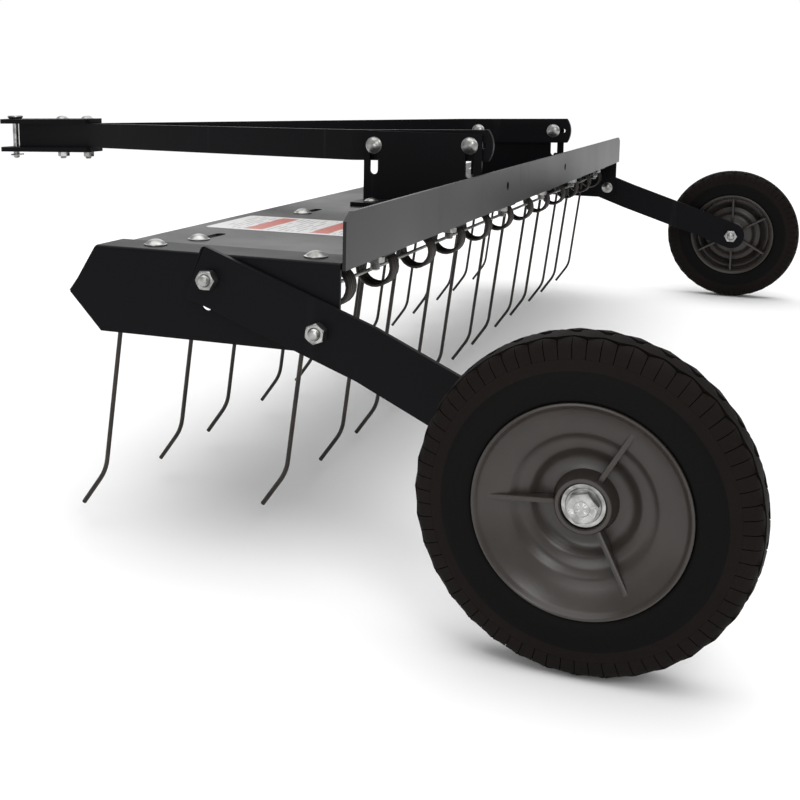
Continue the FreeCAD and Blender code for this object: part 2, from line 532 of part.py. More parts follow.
def make_wheel(side):
    mid = WHEEL_X
    hub_in, hub_out = mid + HUB_OUT - HUB_LENGTH, mid + HUB_OUT
    bush_r = AXLE_D / 2 + RUNNING + BUSH_WALL

    half = TYRE_WIDTH / 2
    profile = [(-RIM_WIDTH / 2 + LIP_WIDTH, SEAT_R), (-half, RIM_R + BULGE_UP),
               (-half, TYRE_R - BULGE_DOWN), (-TREAD_HALF, TYRE_R - CROWN)]
    mirror_side = [(-x, r) for x, r in profile[::-1]]
    points = [V(mid + x, 0, TYRE_R + r) for x, r in profile + mirror_side]
    edges = [Part.makeLine(a, b) for a, b in zip(points[:4], points[1:4])]
    edges.append(Part.Arc(points[3], V(mid, 0, 2 * TYRE_R), points[4]).toShape())
    edges += [Part.makeLine(a, b) for a, b in zip(points[4:], points[5:] + points[:1])]
    tyre = Part.Face(Part.Wire(edges)).revolve(V(0, 0, TYRE_R), V(1, 0, 0), 360)

    inside_r, lip_half = SEAT_R - RIM_WALL, LIP_WIDTH / 2
    barrel = disc(mid - RIM_WIDTH / 2, mid + RIM_WIDTH / 2, SEAT_R, inside_r)
    lips = [disc(mid + s * RIM_WIDTH / 2 - lip_half, mid + s * RIM_WIDTH / 2 + lip_half, RIM_R,
                 inside_r) for s in (1, -1)]
    web = disc(mid - WEB_THICK, mid, SEAT_R, bush_r)
    hub = disc(hub_in, hub_out, HUB_R, bush_r)
    ribs = []
    for i in range(RIBS):
        rib = box(mid - RIM_WIDTH / 2 + RIB_SET_IN, mid - WEB_THICK / 2, -RIB_THICK / 2,
                  RIB_THICK / 2, TYRE_R + HUB_R - 1, TYRE_R + inside_r + 1)
        rib.rotate(V(0, 0, TYRE_R), V(1, 0, 0), 360.0 * i / RIBS)
        ribs.append(rib)
    for i in range(FINS):
        fin = box(mid - WEB_THICK / 2, mid + FIN_HEIGHT, -RIB_THICK / 2, RIB_THICK / 2,
                  TYRE_R + HUB_R - 1, TYRE_R + FIN_END_R)
        fin.rotate(V(0, 0, TYRE_R), V(1, 0, 0), FIN_TURN + 360.0 * i / FINS)
        ribs.append(fin)
    rim = barrel.multiFuse(lips + [web, hub] + ribs).removeSplitter()
    for s in (1, -1):
        groove = disc(mid + s * RIM_WIDTH / 2 - lip_half, mid + s * RIM_WIDTH / 2 + lip_half, RIM_R, 1.0)
        tyre = tyre.cut(groove)

    spacer_out = hub_in - SIDE_PLAY - WASHER_T
    made = {
        "tyre": tyre,
        "wheel_rim": rim,
        "wheel_bush": disc(hub_in, hub_out, bush_r, AXLE_D / 2 + RUNNING),
        "axle_spacer": disc(AXLE_NUT_X + ARM_THICK, spacer_out, AXLE_D / 2 + SPACER_WALL, AXLE_D / 2),
        "axle_washers": Part.makeCompound(
            [disc(x, x + WASHER_T, AXLE_WASHER_R, AXLE_D / 2)
             for x in (spacer_out, hub_out + SIDE_PLAY)]),
    }
    head_seat = hub_out + SIDE_PLAY + WASHER_T
    head = aim(hexagon(M10["af"], M10["head"]), V(head_seat, 0, TYRE_R), V(1, 0, 0))
    end = AXLE_NUT_X - M10["nut"] - STUD_OUT
    shank = rod(V(end, 0, TYRE_R), V(head_seat, 0, TYRE_R), AXLE_D / 2)
    made["axle_bolt"] = head.fuse(shank)
    made["axle_nut"] = hex_nut(M10, V(AXLE_NUT_X, 0, TYRE_R), V(-1, 0, 0))
    for name, shape in made.items():
        PARTS[f"{side}_{name}"] = shape if side == "left" else mirrored(shape)


def make_label():
    middle = sum(spring_centres("front")[:2]) / 2 + LABEL_SHIFT
    PARTS["deck_label"] = box(middle - LABEL[0] / 2, middle + LABEL[0] / 2, LABEL_Y - LABEL[1] / 2,
                              LABEL_Y + LABEL[1] / 2, DECK_TOP, DECK_TOP + LABEL[2])


def main():
    make_deck()
    make_end_plates()
    make_brackets()
    make_drawbar()
    make_springs()
    for side in ("left", "right"):
        make_arm(side)
        make_wheel(side)
    make_label()
    whole = FreeCAD.BoundBox()
    for shape in PARTS.values():
        whole.add(shape.optimalBoundingBox(False))
    shift = V(0, -(whole.YMin + whole.YMax) / 2, 0)
    os.makedirs("parts", exist_ok=True)
    for name, shape in PARTS.items():
        placed = shape.copy()
        placed.translate(shift)
        placed.exportStep(f"parts/{name}.step")
    print("nodes", len(PARTS), "shift", round(shift.y, 4))
    print("box", [round(v, 3) for v in (whole.XMin, whole.XMax, whole.YMin, whole.YMax,
                                        whole.ZMin, whole.ZMax)])


if __name__ == "__main__":
    main()
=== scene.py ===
"""Tow-behind lawn dethatcher: the finished model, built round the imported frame.

A pressed steel deck carries two rows of double spring tines. A flat-bar drawbar with a
pinned hitch bolts to two brackets on the deck, and two wheels ride on swing arms behind.
Sizes are in metres in the frame's axes: +X left, +Y towards the wheels, +Z up.
"""

import json
import logging
import math
from collections.abc import Callable, Iterator, Sequence
from contextlib import contextmanager
from dataclasses import dataclass
from enum import Enum
from functools import lru_cache

import bmesh
import bpy
from mathutils import Matrix, Vector

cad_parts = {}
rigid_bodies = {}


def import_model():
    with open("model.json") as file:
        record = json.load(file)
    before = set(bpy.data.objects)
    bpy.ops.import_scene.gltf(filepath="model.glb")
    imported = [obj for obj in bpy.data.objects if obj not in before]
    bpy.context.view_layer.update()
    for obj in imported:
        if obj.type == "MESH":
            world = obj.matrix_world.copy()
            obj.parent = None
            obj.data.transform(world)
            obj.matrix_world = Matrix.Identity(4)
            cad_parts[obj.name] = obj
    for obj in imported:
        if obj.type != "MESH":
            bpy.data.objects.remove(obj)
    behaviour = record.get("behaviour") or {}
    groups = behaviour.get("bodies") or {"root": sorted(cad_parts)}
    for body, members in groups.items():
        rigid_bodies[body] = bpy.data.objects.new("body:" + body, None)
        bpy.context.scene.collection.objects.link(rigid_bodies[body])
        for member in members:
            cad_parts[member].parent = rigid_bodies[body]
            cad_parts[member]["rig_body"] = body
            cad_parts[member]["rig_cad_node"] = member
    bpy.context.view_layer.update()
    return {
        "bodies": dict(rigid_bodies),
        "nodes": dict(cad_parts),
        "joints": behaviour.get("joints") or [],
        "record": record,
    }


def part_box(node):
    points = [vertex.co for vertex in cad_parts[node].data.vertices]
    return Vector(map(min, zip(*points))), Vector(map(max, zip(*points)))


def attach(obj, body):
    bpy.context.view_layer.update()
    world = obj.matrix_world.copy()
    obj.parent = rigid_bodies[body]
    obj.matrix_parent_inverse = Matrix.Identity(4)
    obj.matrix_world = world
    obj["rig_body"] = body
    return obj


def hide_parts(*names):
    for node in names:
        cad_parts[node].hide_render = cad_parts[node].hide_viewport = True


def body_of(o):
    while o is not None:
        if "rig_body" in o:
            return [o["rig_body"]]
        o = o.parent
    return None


LOG = logging.getLogger("dethatcher")
MM = 0.001
FULL_TURN = 2 * math.pi
PACKED_WIRE_R = 1.9 * MM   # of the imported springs, a little over the wire formed here

Colour = tuple[float, float, float]
Point2 = tuple[float, float]


class Side(Enum):
    """The two sides of the machine, with the sign of X on each."""

    LEFT = 1
    RIGHT = -1

    @property
    def word(self) -> str:
        """The side's name as the nodes and bodies spell it."""
        return self.name.lower()


class Slot(Enum):
    """The record's material slots."""

    BLACK = "black_steel"
    SPRING = "spring_steel"
    ZINC = "zinc_steel"
    TYRE = "tyre"
    RIM = "rim"
    LABEL = "label"


# ---------------------------------------------------------------- shader maths


class Wire:
    """A node socket that takes part in Python arithmetic."""

    def __init__(self, sheet: "NodeSheet", socket: bpy.types.NodeSocket) -> None:
        """Keep the socket and the sheet that new Math nodes go on."""
        self.sheet = sheet
        self.socket = socket

    def _math(self, operation: str, *values: "Wire | float") -> "Wire":
        """Add one Math node.

        Args:
            operation: The Math node's operation.
            values: Its inputs in order, as wires or numbers.

        Returns:
            The node's result.
        """
        settings = {"operation": operation}
        return self.sheet.add("ShaderNodeMath", settings, dict(enumerate(values)))

    def __add__(self, other: "Wire | float") -> "Wire":
        """Sum."""
        return self._math("ADD", self, other)

    __radd__ = __add__

    def __mul__(self, other: "Wire | float") -> "Wire":
        """Product."""
        return self._math("MULTIPLY", self, other)

    __rmul__ = __mul__

    def __sub__(self, other: "Wire | float") -> "Wire":
        """Difference."""
        return self._math("SUBTRACT", self, other)

    def __rsub__(self, other: float) -> "Wire":
        """Difference, with the number first."""
        return self._math("SUBTRACT", other, self)

    def __truediv__(self, other: "Wire | float") -> "Wire":
        """Quotient."""
        return self._math("DIVIDE", self, other)

    def __abs__(self) -> "Wire":
        """Size without sign."""
        return self._math("ABSOLUTE", self)

    def below(self, limit: float) -> "Wire":
        """One where the value is under the limit, else nought."""
        return self._math("LESS_THAN", self, limit)

    def above(self, limit: float) -> "Wire":
        """One where the value is over the limit, else nought."""
        return self._math("GREATER_THAN", self, limit)

    def wrapped(self, period: float) -> "Wire":
        """The value's remainder after whole periods, never negative."""
        return self._math("FLOORED_MODULO", self, period)

    def root(self) -> "Wire":
        """Square root."""
        return self._math("SQRT", self)


class NodeSheet:
    """One material's nodes, with a Principled shader already on its output."""

    def __init__(self, name: str) -> None:
        """Start an empty node tree.

        Args:
            name: The material's name.
        """
        self.material = bpy.data.materials.new(name)
        self.material.use_nodes = True
        self.nodes = self.material.node_tree.nodes
        self.links = self.material.node_tree.links
        self.nodes.clear()
        self.shader = self.nodes.new("ShaderNodeBsdfPrincipled")
        output = self.nodes.new("ShaderNodeOutputMaterial")
        self.links.new(self.shader.outputs[0], output.inputs["Surface"])
        self.place = self.add("ShaderNodeTexCoord", out="Object")

    def add(self, kind: str, settings: dict | None = None, sockets: dict | None = None,
            out: int | str = 0) -> Wire:
        """Add one node.

        Args:
            kind: The node's type.
            settings: Its properties, set first; "stops" fills a ramp.
            sockets: Values or wires for its inputs, by name or number.
            out: The output wanted, by name or number.

        Returns:
            That output.
        """
        node = self.nodes.new(kind)
        for key, value in (settings or {}).items():
            if key == "stops":
                self._fill_ramp(node.color_ramp, value)
            else:
                setattr(node, key, value)
        for key, value in (sockets or {}).items():
            self.join(node.inputs[key], value)
        return Wire(self, node.outputs[out])

    @staticmethod
    def _fill_ramp(ramp: bpy.types.ColorRamp, stops: Sequence[tuple[float, float]]) -> None:
        """Set a ramp's stops, each a position and a grey level."""
        while len(ramp.elements) < len(stops):
            ramp.elements.new(1.0)
        for element, (position, level) in zip(ramp.elements, stops):
            element.position = position
            element.color = (level, level, level, 1.0)

    def join(self, socket: bpy.types.NodeSocket, value: "Wire | float | Sequence") -> None:
        """Give a socket a wire or a constant."""
        if isinstance(value, Wire):
            self.links.new(value.socket, socket)
        elif isinstance(value, (tuple, list)) and len(value) == 3 and socket.type == "RGBA":
            socket.default_value = (*value, 1.0)
        else:
            socket.default_value = value

    def feed(self, **inputs: "Wire | float | Sequence") -> None:
        """Give the Principled shader's inputs their values; underscores stand for spaces."""
        for key, value in inputs.items():
            self.join(self.shader.inputs[key.replace("_", " ")], value)

    def stretched(self, scale: Sequence[float], shift: Sequence[float] = (0, 0, 0)) -> Wire:
        """Object coordinates, moved and then scaled along each axis.

        Args:
            scale: Factor along X, Y and Z.
            shift: Move along X, Y and Z, in metres, after scaling.

        Returns:
            The coordinates.
        """
        return self.add("ShaderNodeMapping", None,
                        {"Vector": self.place, "Scale": tuple(scale), "Location": tuple(shift)})

    def noise(self, scale: float, detail: float = 3.0, at: Wire | None = None) -> Wire:
        """Cloudy noise from nought to one.

        Args:
            scale: Clouds per metre.
            detail: Octaves.
            at: Coordinates, if not the object's own.

        Returns:
            The noise level.
        """
        return self.add("ShaderNodeTexNoise", None,
                        {"Vector": at or self.place, "Scale": scale, "Detail": detail})

    def ramp(self, level: Wire, *stops: tuple[float, float]) -> Wire:
        """Pass a level through stops of position and grey."""
        return self.add("ShaderNodeValToRGB", {"stops": stops}, {"Fac": level})

    def blend(self, share: Wire, first: "Wire | Colour", second: "Wire | Colour") -> Wire:
        """Mix two colours by a share from nought to one."""
        return self.add("ShaderNodeMix", {"data_type": "RGBA"}, {0: share, 6: first, 7: second}, out=2)

    def split(self, vector: Wire) -> tuple[Wire, Wire, Wire]:
        """The X, Y and Z of a vector."""
        first = self.add("ShaderNodeSeparateXYZ", None, {0: vector})
        return tuple(Wire(self, first.socket.node.outputs[i]) for i in range(3))

    def bump(self, height: Wire, strength: float, depth: float) -> Wire:
        """A normal roughened by a height.

        Args:
            height: The height, from nought to one.
            strength: How much of the bump shows.
            depth: Its depth in metres.

        Returns:
            The normal.
        """
        return self.add("ShaderNodeBump", None,
                        {"Height": height, "Strength": strength, "Distance": depth})

    def facing_up(self) -> Wire:
        """How far the surface faces the sky, from nought to one."""
        normal = self.add("ShaderNodeNewGeometry", None, None, out="Normal")
        up = self.split(normal)[2]
        return self.ramp(up, (0.25, 0.0), (1.0, 1.0))


@dataclass(frozen=True)
class PowderCoat:
    """Satin black powder coat with orange peel, rub marks, and a paler tone on upward faces that is partly
    dust and partly a painted sheen.
    """

    name: str = "powder_coat_black"
    colour: Colour = (0.0045, 0.0045, 0.0055)
    # dusty and dust give upward faces a paler tone: part real dust, part painted sheen, as if the tops
    # reflected the bright sky.
    dusty: Colour = (0.030, 0.030, 0.031)
    rubbed: Colour = (0.045, 0.044, 0.043)
    gloss: float = 0.34
    dust: float = 0.4
    shine: float = 0.06
    streak_scale: Colour = (60.0, 60.0, 4.0)

    @lru_cache
    def material(self) -> bpy.types.Material:
        """Build the finish once and return its material."""
        sheet = NodeSheet(self.name)
        cloud = sheet.noise(9.0, 5.0)
        speck = sheet.noise(420.0, 2.0)
        streak = sheet.noise(1.0, 4.0, sheet.stretched(self.streak_scale))
        # Painted sheen with dust: upward faces, under cloudy noise, turn towards the paler colour, as if
        # they reflected the bright sky.
        dust = sheet.facing_up() * sheet.ramp(cloud, (0.35, 0.15), (0.7, 1.0)) * self.dust
        dust = dust * (speck * 0.6 + 0.7)
        rub = sheet.ramp(streak, (0.62, 0.0), (0.74, 1.0)) * sheet.ramp(cloud, (0.45, 0.0), (0.62, 0.5))
        # The paler tone on upward faces is dust and painted sheen together.
        coat = sheet.blend(dust, self.colour, self.dusty)
        coat = sheet.blend(rub * 0.5, coat, self.rubbed)
        peel = sheet.noise(900.0, 1.0)
        sheet.feed(Base_Color=coat, Specular_IOR_Level=self.shine,
                   Roughness=cloud * 0.14 + dust * 0.25 + rub * 0.15 + (self.gloss - 0.05),
                   Normal=sheet.bump(peel + cloud * 3.0, 0.16, 0.00012))
        return sheet.material


@dataclass(frozen=True)
class ZincPlate:
    """Bright zinc plate with a faint yellow cast and fine handling marks."""

    name: str = "zinc_plate_bright"
    bright: Colour = (0.44, 0.44, 0.43)
    dull: Colour = (0.14, 0.14, 0.13)
    roughness: float = 0.20

    @lru_cache
    def material(self) -> bpy.types.Material:
        """Build the finish once and return its material."""
        sheet = NodeSheet(self.name)
        patch = sheet.noise(160.0, 4.0)
        fine = sheet.noise(1500.0, 2.0)
        tone = sheet.ramp(patch, (0.35, 0.0), (0.7, 1.0))
        sheet.feed(Base_Color=sheet.blend(tone * 0.8, self.bright, self.dull), Metallic=1.0,
                   Roughness=patch * 0.22 + fine * 0.08 + self.roughness,
                   Normal=sheet.bump(fine + patch * 2.0, 0.25, 0.00006))
        return sheet.material


@dataclass(frozen=True)
class TemperedWire:
    """Oil-tempered spring wire: brown-black scale with drawn lines and rubbed spots."""

    name: str = "tempered_spring_wire"
    scale: Colour = (0.011, 0.0085, 0.0070)
    brown: Colour = (0.034, 0.024, 0.0175)
    bare: Colour = (0.13, 0.12, 0.11)

    @lru_cache
    def material(self) -> bpy.types.Material:
        """Build the finish once and return its material."""
        sheet = NodeSheet(self.name)
        patch = sheet.noise(70.0, 5.0)
        drawn = sheet.noise(1.0, 3.0, sheet.stretched((1400.0, 1400.0, 60.0)))
        colour = sheet.blend(sheet.ramp(patch, (0.4, 0.0), (0.72, 1.0)), self.scale, self.brown)
        bare = sheet.ramp(drawn, (0.60, 0.0), (0.78, 1.0)) * 0.35
        sheet.feed(Base_Color=sheet.blend(bare, colour, self.bare), Metallic=0.35,
                   Roughness=patch * 0.2 + drawn * 0.12 + 0.26,
                   Normal=sheet.bump(drawn + patch, 0.25, 0.00008))
        return sheet.material


@dataclass(frozen=True)
class TyreRubber:
    """Black rubber, smooth and dark on the sidewall and browner on the tread."""

    name: str
    axle_y: float
    axle_z: float
    band_r: float
    side: Colour = (0.0022, 0.0019, 0.0018)
    tread: Colour = (0.0075, 0.0054, 0.0047)
    dusty: Colour = (0.018, 0.0145, 0.0125)

    @lru_cache
    def material(self) -> bpy.types.Material:
        """Build the finish once and return its material."""
        sheet = NodeSheet(self.name)
        _, y, z = sheet.split(sheet.stretched((1, 1, 1), (0, -self.axle_y, -self.axle_z)))
        radius = (y * y + z * z).root()
        out = radius.above(self.band_r)
        grain = sheet.noise(700.0, 3.0)
        cloud = sheet.noise(22.0, 4.0)
        ridge = (radius.wrapped(0.0016) / 0.0016 - 0.5)
        colour = sheet.blend(out * (cloud * 0.7 + 0.5), self.side, self.tread)
        dust = sheet.ramp(grain, (0.52, 0.0), (0.72, 1.0)) * sheet.ramp(cloud, (0.4, 0.0), (0.7, 0.5))
        sheet.feed(Base_Color=sheet.blend(dust * (out * 0.7 + 0.25), colour, self.dusty),
                   Specular_IOR_Level=0.07,
                   Roughness=grain * 0.16 + out * 0.14 + cloud * 0.1 + 0.40,
                   Normal=sheet.bump(grain * 0.8 + abs(ridge) * (1 - out) * 0.5, 0.35, 0.00018))
        return sheet.material


@dataclass(frozen=True)
class MouldedPlastic:
    """Dark warm-grey moulded plastic with a fine spark-eroded grain."""

    name: str = "rim_plastic"
    colour: Colour = (0.023, 0.0185, 0.0160)
    pale: Colour = (0.040, 0.033, 0.0295)

    @lru_cache
    def material(self) -> bpy.types.Material:
        """Build the finish once and return its material."""
        sheet = NodeSheet(self.name)
        grain = sheet.noise(1300.0, 3.0)
        flow = sheet.noise(26.0, 4.0)
        tone = sheet.ramp(flow, (0.35, 0.0), (0.7, 0.8)) * 0.7 + grain * 0.25
        sheet.feed(Base_Color=sheet.blend(tone, self.colour, self.pale), IOR=1.46,
                   Roughness=grain * 0.12 + flow * 0.10 + 0.22,
                   Normal=sheet.bump(grain + flow, 0.22, 0.0001))
        return sheet.material


@dataclass(frozen=True)
class PrintedFilm:
    """White film with plain grey rules and two warm bars, and no lettering."""

    name: str
    low: Point2
    high: Point2
    paper: Colour = (0.60, 0.595, 0.59)
    grey: Colour = (0.16, 0.155, 0.155)
    warm: Colour = (0.42, 0.040, 0.012)
    rules: int = 26
    bars: tuple[float, float] = (0.30, 0.72)
    bar_half: float = 0.055

    @lru_cache
    def material(self) -> bpy.types.Material:
        """Build the finish once and return its material."""
        sheet = NodeSheet(self.name)
        width, length = self.high[0] - self.low[0], self.high[1] - self.low[1]
        at = sheet.stretched((1 / width, 1 / length, 1),
                             (-self.low[0] / width, -self.low[1] / length, 0))
        across, along, _ = sheet.split(at)
        inside = (abs(across - 0.5)).below(0.43) * (abs(along - 0.5)).below(0.45)
        ends = sheet.noise(1.0, 0.0, sheet.stretched((6 / width, self.rules / length, 0)))
        rule = (along * self.rules).wrapped(1.0).below(0.34) * ends.above(0.42)
        bars = sum(((abs(along - place)).below(self.bar_half) for place in self.bars[1:]),
                   (abs(along - self.bars[0])).below(self.bar_half))
        colour = sheet.blend(rule * inside * 0.8, self.paper, self.grey)
        colour = sheet.blend(bars * inside, colour, self.warm)
        scuff = sheet.noise(300.0, 4.0)
        sheet.feed(Base_Color=sheet.blend(scuff * 0.12, colour, self.grey),
                   Roughness=scuff * 0.2 + 0.22,
                   Normal=sheet.bump(scuff, 0.1, 0.00005))
        return sheet.material


# ---------------------------------------------------------------- bench tools


def take(*things: bpy.types.Object) -> None:
    """Make these objects the only ones selected, the first of them active."""
    bpy.ops.object.select_all(action="DESELECT")
    for thing in things:
        thing.select_set(True)
    bpy.context.view_layer.objects.active = things[0]


@contextmanager
def editing(piece: bpy.types.Object) -> Iterator[None]:
    """Open a piece in edit mode with everything selected, and close it again."""
    take(piece)
    bpy.ops.object.mode_set(mode="EDIT")
    bpy.ops.mesh.select_all(action="SELECT")
    yield
    bpy.ops.object.mode_set(mode="OBJECT")


def pick_faces(piece: bpy.types.Object, test: Callable[[bmesh.types.BMFace], bool]) -> None:
    """Select the faces of the open piece that pass a test, and no others.

    Args:
        piece: The piece in edit mode.
        test: Says yes to a wanted face.
    """
    bpy.ops.mesh.select_mode(type="FACE")
    bpy.ops.mesh.select_all(action="DESELECT")
    mesh = bmesh.from_edit_mesh(piece.data)
    for face in mesh.faces:
        if test(face):
            face.select_set(True)
    bmesh.update_edit_mesh(piece.data)


def drawn_line(name: str, points: Sequence[Vector], closed: bool = False) -> bpy.types.Object:
    """Draw an outline by extruding one vertex from point to point.

    Args:
        name: The new piece's name.
        points: The outline's corners in order.
        closed: Whether the last corner joins the first.

    Returns:
        The piece, made of edges only.
    """
    bpy.ops.object.select_all(action="DESELECT")
    bpy.ops.mesh.primitive_plane_add(size=1.0, location=(0, 0, 0))
    piece = bpy.context.object
    piece.name = piece.data.name = name
    with editing(piece):
        bpy.ops.mesh.merge(type="CENTER")
        bpy.ops.mesh.select_mode(type="VERT")
        bpy.ops.mesh.select_all(action="SELECT")
        bpy.ops.transform.translate(value=points[0])
        for here, there in zip(points, points[1:]):
            bpy.ops.mesh.extrude_region_move(TRANSFORM_OT_translate={"value": there - here})
        if closed:
            mesh = bmesh.from_edit_mesh(piece.data)
            mesh.verts.ensure_lookup_table()
            mesh.edges.new((mesh.verts[-1], mesh.verts[0]))
            bmesh.update_edit_mesh(piece.data)
    return piece


def turned(name: str, profile: Sequence[Point2], steps: int = 48,
           closed: bool = True) -> bpy.types.Object:
    """Turn a profile round the X axis.

    Args:
        name: The new piece's name.
        profile: Places along the axis with their radii.
        steps: Facets round the turn.
        closed: Whether the profile is a ring; otherwise its ends lie on the axis.

    Returns:
        The turned piece, its faces outwards.
    """
    piece = drawn_line(name, [Vector((x, 0, r)) for x, r in profile], closed)
    with editing(piece):
        bpy.ops.mesh.spin(steps=steps, angle=FULL_TURN, center=(0, 0, 0), axis=(1, 0, 0))
        bpy.ops.mesh.select_all(action="SELECT")
        bpy.ops.mesh.remove_doubles(threshold=1e-6)
        bpy.ops.mesh.normals_make_consistent(inside=False)
    return piece


def cut_plate(name: str, points: Sequence[Vector], thickness: Vector) -> bpy.types.Object:
    """Cut a flat plate to an outline and give it its thickness.

    Args:
        name: The new piece's name.
        points: The outline's corners in order.
        thickness: The way and distance to the other face.

    Returns:
        The closed plate.
    """
    piece = drawn_line(name, points, closed=True)
    with editing(piece):
        bpy.ops.mesh.edge_face_add()
        bpy.ops.mesh.extrude_region_move(TRANSFORM_OT_translate={"value": thickness})
        bpy.ops.mesh.select_all(action="SELECT")
        bpy.ops.mesh.normals_make_consistent(inside=False)
    return piece


def modified(piece: bpy.types.Object, kind: str, **settings: object) -> bpy.types.Object:
    """Add a modifier, set it and apply it.

    Args:
        piece: The piece to change.
        kind: The modifier's type.
        settings: Its properties.

    Returns:
        The same piece.
    """
    take(piece)
    bpy.ops.object.modifier_add(type=kind)
    modifier = piece.modifiers[-1]
    for key, value in settings.items():
        setattr(modifier, key, value)
    bpy.ops.object.modifier_apply(modifier=modifier.name)
    return piece


def rounded(piece: bpy.types.Object, width: float, segments: int = 2) -> bpy.types.Object:
    """Break a piece's sharp edges and shade it smooth between them."""
    modified(piece, "BEVEL", width=width, segments=segments, limit_method="ANGLE",
             angle_limit=math.radians(28), use_clamp_overlap=True, harden_normals=False)
    return smoothed(piece)


def smoothed(piece: bpy.types.Object, degrees: float = 32.0) -> bpy.types.Object:
    """Shade a piece smooth except over its sharp edges."""
    take(piece)
    bpy.ops.object.shade_smooth_by_angle(angle=math.radians(degrees))
    return piece


def copied(piece: bpy.types.Object, name: str, move: Matrix) -> bpy.types.Object:
    """Copy a piece with its own mesh, and place the copy.

    Args:
        piece: The piece to copy.
        name: The copy's name.
        move: Where its mesh goes.

    Returns:
        The copy.
    """
    take(piece)
    bpy.ops.object.duplicate(linked=False)
    twin = bpy.context.object
    twin.name = twin.data.name = name
    twin.data.transform(move)
    if move.determinant() < 0:
        twin.data.flip_normals()
    return twin


def joined(name: str, pieces: Sequence[bpy.types.Object]) -> bpy.types.Object:
    """Join pieces into one."""
    take(*pieces)
    if len(pieces) > 1:
        bpy.ops.object.join()
    whole = bpy.context.object
    whole.name = whole.data.name = name
    return whole


def scrapped(*pieces: bpy.types.Object) -> None:
    """Throw away pieces used only as patterns."""
    take(*pieces)
    bpy.ops.object.delete()


def aimed(place: Vector, axis: Vector, roll: float = 0.0) -> Matrix:
    """The move that turns +X to an axis and sets the origin at a place.

    Args:
        place: Where the origin goes.
        axis: Where +X points afterwards.
        roll: Turn about the axis first, in radians.

    Returns:
        The matrix.
    """
    turn = axis.to_track_quat("X", "Z").to_matrix().to_4x4()
    return Matrix.Translation(place) @ turn @ Matrix.Rotation(roll, 4, "X")


def wire_piece(name: str, runs: Sequence[Sequence[Vector]], radius: float,
               smooth: bool = False) -> bpy.types.Object:
    """Form round wire along one or more paths.

    Args:
        name: The new piece's name.
        runs: The points of each path.
        radius: The wire's radius.
        smooth: Whether each path is one flowing curve rather than straight runs.

    Returns:
        The wire as a mesh with filled ends.
    """
    bpy.ops.object.select_all(action="DESELECT")
    bpy.ops.curve.primitive_nurbs_path_add()
    piece = bpy.context.object
    piece.name = name
    curve = piece.data
    curve.splines.clear()
    curve.dimensions = "3D"
    curve.bevel_depth = radius
    curve.bevel_resolution = 2
    curve.use_fill_caps = True
    curve.resolution_u = 6
    for run in runs:
        spline = curve.splines.new("NURBS" if smooth else "POLY")
        spline.points.add(len(run) - 1)
        for point, place in zip(spline.points, run):
            point.co = (*place, 1.0)
        if smooth:
            spline.order_u = 4
            spline.use_endpoint_u = True
    take(piece)
    bpy.ops.object.convert(target="MESH")
    with editing(piece):
        bpy.ops.mesh.remove_doubles(threshold=1e-6)
        bpy.ops.mesh.normals_make_consistent(inside=False)
    return smoothed(piece, 50.0)


def arc_points(before: Vector, corner: Vector, after: Vector, cut: float, count: int = 5) -> list[Vector]:
    """Round off a corner of a path.

    Args:
        before: The point before the corner.
        corner: The corner.
        after: The point after it.
        cut: How far along each run the round starts.
        count: Points on the round.

    Returns:
        The round's points in order.
    """
    start = corner + (before - corner).normalized() * cut
    end = corner + (after - corner).normalized() * cut
    shares = [i / (count - 1) for i in range(count)]
    return [start * (1 - t) ** 2 + corner * (2 * t * (1 - t)) + end * t * t for t in shares]


def loose_boxes(node: bpy.types.Object) -> list[tuple[Vector, Vector]]:
    """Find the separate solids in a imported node.

    Args:
        node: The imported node.

    Returns:
        The lowest and highest corner of each solid, in a steady order.
    """
    keys = [tuple(round(c, 6) for c in v.co) for v in node.data.vertices]
    leader: dict[tuple, tuple] = {key: key for key in keys}

    def top(key: tuple) -> tuple:
        """Follow a corner to its group's leader."""
        while leader[key] != key:
            leader[key] = leader[leader[key]]
            key = leader[key]
        return key

    for face in node.data.polygons:
        first, *others = face.vertices
        for other in others:
            leader[top(keys[other])] = top(keys[first])
    groups: dict[tuple, list[tuple]] = {}
    for key in set(keys):
        groups.setdefault(top(key), []).append(key)
    boxes = [(Vector(map(min, zip(*corners))), Vector(map(max, zip(*corners))))
             for corners in groups.values()]
    return sorted(boxes, key=lambda pair: tuple(round(c, 4) for c in pair[0]))


